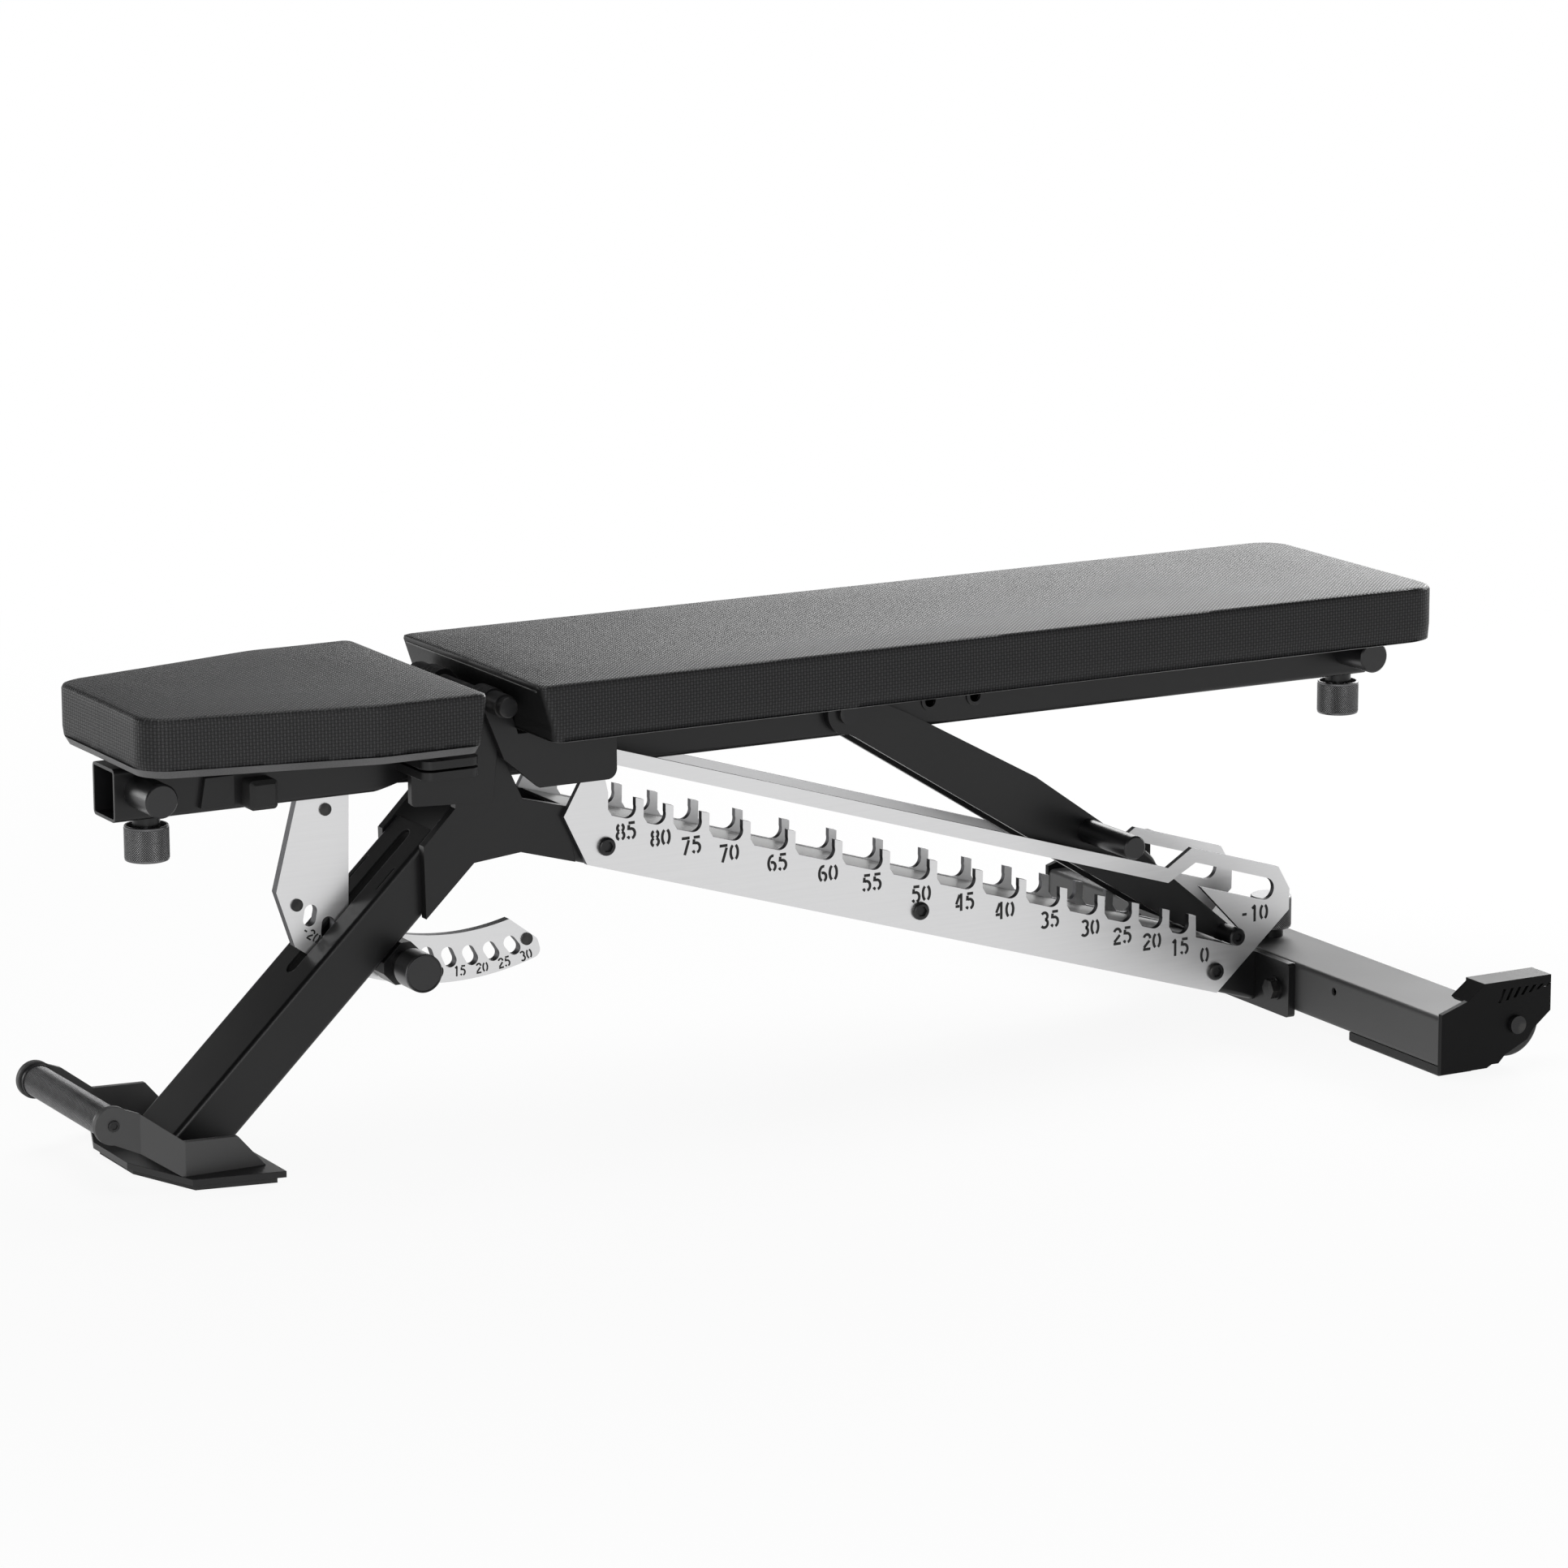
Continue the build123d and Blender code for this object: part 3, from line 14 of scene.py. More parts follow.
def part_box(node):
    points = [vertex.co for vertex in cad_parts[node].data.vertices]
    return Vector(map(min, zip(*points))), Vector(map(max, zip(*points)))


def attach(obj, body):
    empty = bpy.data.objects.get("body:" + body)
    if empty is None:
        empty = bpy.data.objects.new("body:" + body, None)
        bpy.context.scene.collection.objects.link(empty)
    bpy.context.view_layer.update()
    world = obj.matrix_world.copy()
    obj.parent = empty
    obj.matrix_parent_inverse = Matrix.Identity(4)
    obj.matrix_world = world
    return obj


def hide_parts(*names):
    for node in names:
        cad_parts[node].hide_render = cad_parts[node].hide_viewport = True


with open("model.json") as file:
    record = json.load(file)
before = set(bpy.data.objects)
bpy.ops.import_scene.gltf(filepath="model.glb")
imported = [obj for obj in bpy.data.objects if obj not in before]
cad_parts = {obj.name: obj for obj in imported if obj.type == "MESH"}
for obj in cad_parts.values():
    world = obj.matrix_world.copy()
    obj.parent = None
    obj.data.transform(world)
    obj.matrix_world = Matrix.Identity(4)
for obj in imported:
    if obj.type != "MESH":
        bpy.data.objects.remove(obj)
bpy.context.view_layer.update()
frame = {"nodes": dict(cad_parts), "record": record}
scene = bpy.context.scene
nodes = frame["nodes"]
slot_of = {part["node"]: part["material_slot"] for part in frame["record"]["subparts"]}

# Camera fitted to the photograph, in degrees and metres, its lens and sensor in millimetres
CAMERA_TURN = -29.074
CAMERA_LIFT = 12.51
CAMERA_ROLL = -0.214
CAMERA_PLACE = (-2.7539, -5.0435, 1.5619)
CAMERA_LENS = 139.75
CAMERA_SENSOR = 36.0

# Woven covers: sizes in metres, the pressure inside, counts, and parts of a face's normal
WEAVE_PITCH = 0.0031
COVER_START = 0.0006
COVER_PRESSURE = 0.10
COVER_EVEN_ROUNDS = 14
COVER_GRID = 0.012
COVER_FRAMES = 20
COVER_NEIGHBOURS = 6
COVER_BOTTOM_BAND = 0.0005
COVER_HELD_FACING = -0.7
WEAVE_UPRIGHT_FACING = 0.72
PANEL_FACING = -0.75
BACK_COVER_LOW = 0.3843
BACK_COVER_VOXEL = 0.0056
SEAT_COVER_LOW = 0.3902
SEAT_COVER_VOXEL = 0.0046
BACK_CORNER_RADIUS = 0.028
SEAT_CORNER_RADIUS = 0.030
SEAT_CORNER_HALF = 0.075

# Piped seam of the back pad's front face, in metres
WELT_RADIUS = 0.0011
WELT_DROP = 0.0078
WELT_END = 0.012
WELT_STEPS = 24
WELT_RAY_FROM = -2.0

# Rounding of painted edges, in metres
PAINT_EDGE = 0.0009

# Studio: share of the floor's own white near the bench, and the room's sizes in metres and brightness
FLOOR_WHITE = 0.92
ROOM_RADIUS = 12.0
ROOM_COVE = 1.5
ROOM_HEIGHT = 3.6
ROOM_LIGHT = 0.45

# Knurls, in metres
KNURL_DEPTH = 0.0004
KNURL_STEP = 0.0011
KNURL_WALL = 0.0012
KNURL_PROUD = 0.00005


class Value:
    """One socket of a node tree. Its arithmetic adds Math nodes, and node() adds any other."""

    def __init__(self, tree, socket):
        self.tree = tree
        self.socket = socket

    def node(self, kind, settings=None, sockets=None, output=0):
        """Adds a node, its settings first and then its sockets, and gives one of its outputs."""
        made = self.tree.nodes.new(kind)
        for name, setting in (settings or {}).items():
            setattr(made, name, setting)
        for key, given in (sockets or {}).items():
            plug(made.inputs[key], given)
        return Value(self.tree, made.outputs[output])

    def math(self, operation, other=0.0):
        return self.node("ShaderNodeMath", {"operation": operation}, {0: self, 1: other})

    def __add__(self, other):
        return self.math("ADD", other)

    def __radd__(self, other):
        return self.math("ADD", other)

    def __mul__(self, other):
        return self.math("MULTIPLY", other)

    def __rmul__(self, other):
        return self.math("MULTIPLY", other)

    def __sub__(self, other):
        return self.math("SUBTRACT", other)

    def __rsub__(self, other):
        return (self * -1.0) + other

    def __truediv__(self, other):
        return self.math("DIVIDE", other)

    def __rtruediv__(self, other):
        return self.math("POWER", -1.0) * other

    def __mod__(self, other):
        return self.math("FLOORED_MODULO", other)

    def __gt__(self, other):
        return self.math("GREATER_THAN", other)

    def __lt__(self, other):
        return self.math("LESS_THAN", other)

    def __abs__(self):
        return self.math("ABSOLUTE")

    def between(self, low, high):
        """0 below low, 1 above high, smooth between."""
        sockets = {"Value": self, "From Min": low, "From Max": high}
        return self.node("ShaderNodeMapRange", {"interpolation_type": "SMOOTHSTEP"}, sockets)

    def axes(self):
        """X, Y and Z of a vector."""
        split = self.node("ShaderNodeSeparateXYZ", None, {0: self})
        return [Value(self.tree, socket) for socket in split.socket.node.outputs]

    def noise(self, scale, detail=2.0):
        """Noise from 0 to 1 over these coordinates."""
        return self.node("ShaderNodeTexNoise", None, {"Vector": self, "Scale": scale, "Detail": detail})

    def stretched(self, x, y, z):
        """These coordinates with each axis scaled."""
        return self.node("ShaderNodeMapping", None, {"Vector": self, "Scale": (x, y, z)})

    def tint(self, first, second):
        """Colour that goes from the first to the second as this goes from 0 to 1."""
        ends = {"A": (*first, 1.0), "B": (*second, 1.0)}
        mixed = self.node("ShaderNodeMix", {"data_type": "RGBA"}, {"Factor": self}, output=2)
        for socket in mixed.socket.node.inputs:
            if socket.type == "RGBA":
                plug(socket, ends[socket.name])
        return mixed


def plug(socket, given):
    """Links a Value to a socket, or sets the socket's own constant."""
    if isinstance(given, Value):
        given.tree.links.new(given.socket, socket)
    else:
        socket.default_value = given


def finish(name, colour, roughness, **constants):
    """New material with its shader's constants, and the coordinates and normal that its pattern reads."""
    material = bpy.data.materials.new(name)
    material.use_nodes = True
    tree = material.node_tree
    shader = tree.nodes["Principled BSDF"]
    shader.inputs["Base Color"].default_value = (*colour, 1.0)
    shader.inputs["Roughness"].default_value = roughness
    for key, constant in constants.items():
        shader.inputs[key.replace("_", " ")].default_value = constant
    coordinates = tree.nodes.new("ShaderNodeTexCoord")
    place = Value(tree, coordinates.outputs["Object"])
    facing = Value(tree, coordinates.outputs["Normal"])
    return material, shader, place, facing


def bumped(shader, height, strength, distance, edge=0.0):
    """Gives the shader a bump from a height, and edges rounded by a small radius."""
    sockets = {"Height": height, "Strength": strength, "Distance": distance}
    if edge:
        sockets["Normal"] = height.node("ShaderNodeBevel", {"samples": 4}, {"Radius": edge})
    plug(shader.inputs["Normal"], height.node("ShaderNodeBump", None, sockets))


def powder_coat(name, dark, light, roughness, peel, gloss=0.5):
    """Satin powder coat: fine orange peel, slow drift of gloss and colour."""
    material, shader, place, _ = finish(name, dark, roughness, Specular_IOR_Level=gloss)
    drift = place.noise(7.0, 3.0)
    speck = place.noise(1600.0, 1.0)
    plug(shader.inputs["Base Color"], (drift * 0.7 + speck * 0.3).between(0.3, 0.75).tint(dark, light))
    plug(shader.inputs["Roughness"], drift * 0.10 + speck * 0.06 + (roughness - 0.08))
    bumped(shader, place.noise(750.0, 2.0) + speck * 0.25, peel, 0.0004, PAINT_EDGE)
    return material


def silver_plate():
    """Satin steel plate: fine grain along the plate, faces bright, its edges painted dark as shade."""
    face, edge = (0.74, 0.74, 0.745), (0.10, 0.10, 0.105)
    material, shader, place, facing = finish("silver_plate", face, 0.34, Metallic=1.0)
    # Painted shade: edges facing across the plate take the dark colour instead of the steel's own
    flat = abs(facing.axes()[1]).between(0.55, 0.8)
    grain = place.stretched(14.0, 300.0, 420.0).noise(1.0, 3.0)
    cloud = place.noise(5.0, 2.0)
    plug(shader.inputs["Base Color"], (flat * (grain * 0.10 + 0.92)).tint(edge, (0.75, 0.75, 0.755)))
    plug(shader.inputs["Roughness"], grain * 0.12 + cloud * 0.08 + (0.46 - flat * 0.20))
    bumped(shader, grain, 0.05, 0.0003)
    return material


def woven_vinyl():
    """Woven black vinyl: warp over weft on the cover's own map, threads glossy, gaps painted dark as
    shade.
    """
    dark, light = (0.002, 0.002, 0.0022), (0.044, 0.044, 0.046)
    material, shader, place, _ = finish("woven_vinyl", dark, 0.45, Specular_IOR_Level=0.34)
    cloth = place.node("ShaderNodeUVMap", {"uv_map": "weave"})
    along, across, _ = cloth.axes()
    warp_wave = (along * (pi / WEAVE_PITCH)).math("SINE")
    weft_wave = (across * (pi / WEAVE_PITCH)).math("SINE")
    turn = warp_wave * weft_wave
    warp = abs(warp_wave) * (turn * 0.40 + 0.60)
    weft = abs(weft_wave) * (0.42 - turn * 0.42)
    threads = warp.math("MAXIMUM", weft)
    fibre = place.noise(2200.0, 1.0)
    drift = place.noise(6.0, 2.0)
    # Painted shade: base colour darkest in the gaps between threads, from the threads' height
    plug(shader.inputs["Base Color"], (threads * 0.8 + fibre * 0.2).between(0.25, 1.0).tint(dark, light))
    plug(shader.inputs["Roughness"], 0.66 - threads * 0.32 + drift * 0.05)
    bumped(shader, threads + fibre * 0.10, 0.60, 0.0006)
    return material


def rubber(name, colour, roughness):
    """Moulded rubber or plastic with a fine grain."""
    material, shader, place, _ = finish(name, colour, roughness)
    grain = place.noise(900.0, 3.0)
    drift = place.noise(12.0, 2.0)
    lighter = tuple(channel * 1.7 for channel in colour)
    cloud = (grain * 0.4 + drift * 0.6).between(0.3, 0.7)
    plug(shader.inputs["Base Color"], cloud.tint(colour, lighter))
    plug(shader.inputs["Roughness"], grain * 0.14 + (roughness - 0.07))
    bumped(shader, grain, 0.25, 0.0004)
    return material


def blackened_steel():
    """Black-oxide screws and pins: brown-black with brighter rubbed patches."""
    dark, rubbed = (0.014, 0.014, 0.015), (0.045, 0.044, 0.042)
    material, shader, place, _ = finish("blackened_steel", dark, 0.36, Metallic=0.35)
    patch = place.noise(60.0, 2.0)
    plug(shader.inputs["Base Color"], patch.between(0.48, 0.72).tint(dark, rubbed))
    plug(shader.inputs["Roughness"], patch * 0.22 + 0.26)
    bumped(shader, place.noise(1200.0, 2.0), 0.10, 0.0003)
    return material


def knob_metal():
    """Dark anodised aluminium, a little brighter where hands rub it."""
    dark, rubbed = (0.110, 0.110, 0.113), (0.170, 0.170, 0.174)
    material, shader, place, _ = finish("knob_metal", dark, 0.33, Metallic=0.9)
    patch = place.noise(28.0, 2.0)
    grain = place.noise(1800.0, 1.0)
    plug(shader.inputs["Base Color"], (patch * 0.6 + grain * 0.4).between(0.3, 0.8).tint(dark, rubbed))
    plug(shader.inputs["Roughness"], patch * 0.10 + grain * 0.08 + 0.26)
    bumped(shader, grain, 0.08, 0.0002)
    return material


def knurled_metal():
    """Knob metal cut by a diamond knurl: painted highlight on the crests, painted shade in the cuts
    between them.
    """
    dark, crest_highlight = (0.045, 0.045, 0.046), (0.440, 0.440, 0.445)
    material, shader, place, _ = finish("knurled_metal", dark, 0.34, Metallic=0.9)
    height = place.node("ShaderNodeAttribute", {"attribute_name": "crest_highlight"}, None, output=2)
    patch = place.noise(28.0, 2.0)
    # Painted shade in the cuts and painted highlight on the crests, read from the crest mark
    plug(shader.inputs["Base Color"], (height * (patch * 0.4 + 0.7)).between(0.1, 1.0).tint(dark, crest_highlight))
    plug(shader.inputs["Roughness"], 0.44 - height * 0.12 + patch * 0.06)
    return material


def plain_vinyl():
    """Smooth black vinyl of the sewn end panels, with a faint leather grain."""
    dark, light = (0.004, 0.004, 0.0042), (0.009, 0.009, 0.0094)
    material, shader, place, _ = finish("plain_vinyl", dark, 0.46, Specular_IOR_Level=0.34)
    grain = place.noise(520.0, 3.0)
    plug(shader.inputs["Base Color"], grain.between(0.3, 0.7).tint(dark, light))
    plug(shader.inputs["Roughness"], grain * 0.16 + 0.40)
    bumped(shader, grain, 0.20, 0.0004)
    return material


def stapled_board():
    """Painted plywood board: faint plies along the edge, fibres below."""
    dark, light = (0.070, 0.070, 0.071), (0.120, 0.120, 0.122)
    material, shader, place, _ = finish("painted_board", dark, 0.42)
    plies = place.stretched(3.0, 3.0, 620.0).noise(1.0, 2.0)
    fibre = place.stretched(30.0, 900.0, 900.0).noise(1.0, 2.0)
    plug(shader.inputs["Base Color"], (plies * 0.6 + fibre * 0.4).between(0.35, 0.7).tint(dark, light))
    plug(shader.inputs["Roughness"], fibre * 0.15 + 0.34)
    bumped(shader, plies + fibre * 0.5, 0.12, 0.0004)
    return material


def cut_number():
    """Shade inside a number cut through the plate."""
    material, shader, place, _ = finish("cut_number", (0.012, 0.012, 0.012), 0.7)
    soot = place.noise(700.0, 2.0)
    plug(shader.inputs["Base Color"], soot.tint((0.008, 0.008, 0.008), (0.020, 0.020, 0.020)))
    plug(shader.inputs["Roughness"], soot * 0.2 + 0.6)
    return material


FRAME_BLACK = ((0.007, 0.007, 0.0075), (0.012, 0.012, 0.0125))
GRIP_BLACK = ((0.010, 0.010, 0.011), (0.018, 0.018, 0.019))
# Painted shade: the rear end plates' copy of the frame's black, darker than the frame
END_PLATE_SHADED_BLACK = ((0.003, 0.003, 0.0032), (0.006, 0.006, 0.0063))
# Painted light: the foot parts' copy of the frame's black, lighter than the frame
FOOT_LIT_BLACK = ((0.020, 0.020, 0.0205), (0.028, 0.028, 0.0285))
finishes = {
    "frame_black": powder_coat("satin_black", *FRAME_BLACK, 0.33, 0.08, 0.36),
    "plate_silver": silver_plate(),
    "cushion_vinyl": woven_vinyl(),
    "pad_board": stapled_board(),
    "rubber_black": rubber("foot_rubber", (0.014, 0.014, 0.014), 0.70),
    "wheel_black": rubber("wheel_plastic", (0.018, 0.018, 0.018), 0.50),
    "knob_black": knob_metal(),
    "fastener_dark": blackened_steel(),
    "grip_dark": powder_coat("grip_black", *GRIP_BLACK, 0.33, 0.14),
}
number_shade = cut_number()
knurl_finish = knurled_metal()
panel_vinyl = plain_vinyl()
# Painted shade: darker copy of the frame's coat for the rear end plates
end_plate_shaded_coat = powder_coat("painted_shade_black", *END_PLATE_SHADED_BLACK, 0.40, 0.08, 0.12)
# Painted light: lighter copy of the frame's coat for the rear foot tube and the front foot side plates
foot_lit_coat = powder_coat("painted_light_black", *FOOT_LIT_BLACK, 0.60, 0.08, 1.0)
# Parts that take the painted shade and painted light copies of the frame's coat instead of their slot's
# finish
lit_and_shaded_coat = {
    "rear_end_plate_left": end_plate_shaded_coat,
    "rear_end_plate_right": end_plate_shaded_coat,
    "rear_foot_tube": foot_lit_coat,
    "front_foot_side_left": foot_lit_coat,
    "front_foot_side_right": foot_lit_coat,
}
for node_name, cad_object in nodes.items():
    cad_object.data.materials.clear()
    cad_object.data.materials.append(lit_and_shaded_coat.get(node_name, finishes[slot_of[node_name]]))


def new_piece(name, mesh, body, slot, material=None):
    """Object at the origin for a finished mesh, riding on a body."""
    piece = bpy.data.objects.new(name, mesh)
    scene.collection.objects.link(piece)
    mesh.materials.clear()
    mesh.materials.append(material or finishes[slot])
    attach(piece, body)
    return piece


def written(work, mesh):
    """Puts a worked shape into a plain mesh."""
    work.to_mesh(mesh)
    work.free()
    return mesh


def tidy_mesh(mesh, merge=1e-6):
    """Merges doubles and points the faces outwards."""
    work = bmesh.new()
    work.from_mesh(mesh)
    bmesh.ops.remove_doubles(work, verts=work.verts, dist=merge)
    bmesh.ops.recalc_face_normals(work, faces=work.faces)
    return written(work, mesh)


def baked(source):
    """Plain mesh of an object with its modifiers applied."""
    graph = bpy.context.evaluated_depsgraph_get()
    return bpy.data.meshes.new_from_object(source.evaluated_get(graph), depsgraph=graph)


def joined(name, meshes):
    """One mesh from several."""
    work = bmesh.new()
    for mesh in meshes:
        work.from_mesh(mesh)
    return written(work, bpy.data.meshes.new(name))


# Woven covers of the two pads


def drawn_surface(node_name, low):
    """Cushion's own surface, drawn down over its board."""
    mesh = tidy_mesh(nodes[node_name].data.copy(), 1e-5)
    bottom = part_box(node_name)[0].z
    for vertex in mesh.vertices:
        if vertex.co.z < bottom + COVER_BOTTOM_BAND:
            vertex.co.z = low
    return mesh


def with_modifier(mesh, kind, settings):
    """Plain mesh after one modifier."""
    host = bpy.data.objects.new("modified_mesh", mesh)
    scene.collection.objects.link(host)
    modifier = host.modifiers.new("change", kind)
    for name, setting in settings.items():
        setattr(modifier, name, setting)
    changed = baked(host)
    bpy.data.objects.remove(host)
    return changed


def swell_heights(mesh):
    """How far pressure lifts each point of a pad: cloth that starts smaller, its underside held."""
    start = mesh.copy()
    normals = [vertex.normal.copy() for vertex in mesh.vertices]
    for vertex, normal in zip(start.vertices, normals):
        vertex.co -= normal * COVER_START
    begin = [vertex.co.copy() for vertex in start.vertices]
    pad = bpy.data.objects.new("swelling_pad", start)
    scene.collection.objects.link(pad)
    held = pad.vertex_groups.new(name="held")
    underside = [i for i, normal in enumerate(normals) if normal.z < COVER_HELD_FACING]
    held.add(underside, 1.0, "REPLACE")
    cloth = pad.modifiers.new("foam", "CLOTH")
    cloth.settings.quality = 5
    cloth.settings.use_pressure = True
    cloth.settings.uniform_pressure_force = COVER_PRESSURE
    cloth.settings.effector_weights.gravity = 0.0
    cloth.settings.vertex_group_mass = "held"
    cloth.point_cache.frame_start = 1
    cloth.point_cache.frame_end = COVER_FRAMES
    for step in range(1, COVER_FRAMES + 1):
        scene.frame_set(step)
    full = baked(pad)
    ways = [(end.co - co).dot(normal) for end, co, normal in zip(full.vertices, begin, normals)]
    bpy.data.objects.remove(pad)
    scene.frame_set(1)
    return evened(np.array(ways) - COVER_START, mesh)


def evened(heights, mesh):
    """Heights spread over neighbouring points, as foam spreads them."""
    ends = np.zeros(len(mesh.edges) * 2, dtype=np.int32)
    mesh.edges.foreach_get("vertices", ends)
    first, second = ends.reshape(-1, 2).T
    count = np.bincount(ends, minlength=len(heights))
    for _ in range(COVER_EVEN_ROUNDS):
        around = np.bincount(first, heights[second], len(heights))
        around += np.bincount(second, heights[first], len(heights))
        heights = (heights + around / count) / 2
    return heights


def map_weave(mesh, corner_x, corner_y, corner_radius, end_sign):
    """The weave's own map in metres: aslant on top and below, way round and height on the sides."""
    layer = mesh.uv_layers.new(name="weave")
    quarter = corner_radius * pi / 2
    for polygon in mesh.polygons:
        upright = abs(polygon.normal.z) > WEAVE_UPRIGHT_FACING
        sideways = abs(polygon.normal.x) > abs(polygon.normal.y)
        for loop_index in polygon.loop_indices:
            point = mesh.vertices[mesh.loops[loop_index].vertex_index].co
            past = (point.x - corner_x) * end_sign
            in_corner = past > 0 and abs(point.y) > corner_y
            if upright:
                along, across = (point.y - point.x) / 2**0.5, (point.x + point.y) / 2**0.5
            elif in_corner:
                along = atan2(past, abs(point.y) - corner_y) * corner_radius
                across = point.z
            elif sideways:
                along = quarter + corner_y - abs(point.y)
                across = point.z
            else:
                along = past
                across = point.z
            layer.data[loop_index].uv = (along, across)


def gridded(mesh, step):
    """Mesh cut along an even grid, so that its flat faces can rise."""
    work = bmesh.new()
    work.from_mesh(mesh)
    bmesh.ops.dissolve_limit(work, angle_limit=radians(0.3), verts=work.verts, edges=work.edges)
    for axis in range(3):
        places = [vertex.co[axis] for vertex in work.verts]
        low, high = min(places), max(places)
        across = Vector([float(i == axis) for i in range(3)])
        cuts = round((high - low) / step)
        for i in range(1, cuts):
            cells = list(work.verts) + list(work.edges) + list(work.faces)
            place = across * (low + (high - low) * i / cuts)
            bmesh.ops.bisect_plane(work, geom=cells, dist=1e-6, plane_co=place, plane_no=across)
    bmesh.ops.triangulate(work, faces=[face for face in work.faces if len(face.verts) > 4])
    return written(work, mesh)


def lifted(mesh, even, heights):
    """Moves each point of a fitted cover out by the mean height of the cloth round it."""
    finder = KDTree(len(even.vertices))
    for i, vertex in enumerate(even.vertices):
        finder.insert(vertex.co, i)
    finder.balance()
    normals = [vertex.normal.copy() for vertex in mesh.vertices]
    for vertex, normal in zip(mesh.vertices, normals):
        near = [heights[i] for _, i, _ in finder.find_n(vertex.co, COVER_NEIGHBOURS)]
        vertex.co += normal * float(np.mean(near))


def make_cover(node_name, body, low, voxel, corner):
    """Cover that stands for a cushion: its drawn-down surface, swelled by the cloth's heights."""
    surface = drawn_surface(node_name, low)
    mesh = gridded(surface.copy(), COVER_GRID)
    even = with_modifier(surface, "REMESH", {"mode": "VOXEL", "voxel_size": voxel})
    lifted(mesh, even, swell_heights(even))
    for polygon in mesh.polygons:
        polygon.use_smooth = True
    map_weave(mesh, *corner)
    end_sign = corner[-1]
    mesh = with_modifier(mesh, "WEIGHTED_NORMAL", {"weight": 50, "keep_sharp": False})
    cover = new_piece(node_name + "_cover", mesh, body, "cushion_vinyl")
    mesh.materials.append(panel_vinyl)
    for polygon in mesh.polygons:
        polygon.material_index = int(polygon.normal.x * end_sign < PANEL_FACING)
    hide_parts(node_name)
    return cover


back_low, back_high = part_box("back_cushion")
seat_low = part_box("seat_cushion")[0]
back_corner = (back_high.x - BACK_CORNER_RADIUS, back_high.y - BACK_CORNER_RADIUS, BACK_CORNER_RADIUS, 1)
seat_corner = (seat_low.x + SEAT_CORNER_RADIUS, SEAT_CORNER_HALF, SEAT_CORNER_RADIUS, -1)
back_cover = make_cover("back_cushion", "back", BACK_COVER_LOW, BACK_COVER_VOXEL, back_corner)
make_cover("seat_cushion", "seat", SEAT_COVER_LOW, SEAT_COVER_VOXEL, seat_corner)


def front_welt(cover, low, high, level):
    """Piped seam across a cover's front face, laid on it from side to side."""
    face = cover.data
    tree = BVHTree.FromPolygons([v.co for v in face.vertices], [p.vertices for p in face.polygons])
    curve = bpy.data.curves.new("welt", "CURVE")
    curve.dimensions = "3D"
    curve.bevel_depth = WELT_RADIUS
    curve.bevel_resolution = 3
    curve.use_fill_caps = True
    path = curve.splines.new("POLY")
    path.points.add(WELT_STEPS)
    for i, point in enumerate(path.points):
        start = Vector((WELT_RAY_FROM, low + (high - low) * i / WELT_STEPS, level))
        point.co = (*tree.ray_cast(start, Vector((1, 0, 0)))[0], 1.0)
    host = bpy.data.objects.new("welt", curve)
    scene.collection.objects.link(host)
    mesh = tidy_mesh(baked(host))
    bpy.data.objects.remove(host)
    for polygon in mesh.polygons:
        polygon.use_smooth = True
    return mesh


welt_vinyl = rubber("welt_vinyl", (0.020, 0.020, 0.020), 0.38)
welt_level = back_high.z - WELT_DROP
welt_mesh = front_welt(back_cover, back_low.y + WELT_END, back_high.y - WELT_END, welt_level)
new_piece("back_front_welt", welt_mesh, "back", "cushion_vinyl", welt_vinyl)


# Knurled sleeves on the grip and on the pull pins


def new_tree(name, result, kinds):
    """New geometry tree with one named result, and its inputs as values by name."""
    tree = bpy.data.node_groups.new(name, "GeometryNodeTree")
    tree.interface.new_socket(result, in_out="OUTPUT", socket_type="NodeSocketGeometry")
    for label, kind in kinds.items():
        tree.interface.new_socket(label, in_out="INPUT", socket_type="NodeSocket" + kind)
    entry = tree.nodes.new("NodeGroupInput")
    return tree, {socket.name: Value(tree, socket) for socket in entry.outputs if socket.name}


def ended(tree, shape, material):
    """The tree with a shape as its result, made real and given a material."""
    solid = shape.node("GeometryNodeRealizeInstances", None, {"Geometry": shape})
    dress = {"Geometry": solid, "Material": material}
    dressed = solid.node("GeometryNodeSetMaterial", None, dress)
    plug(tree.nodes.new("NodeGroupOutput").inputs[0], dressed)
    return tree


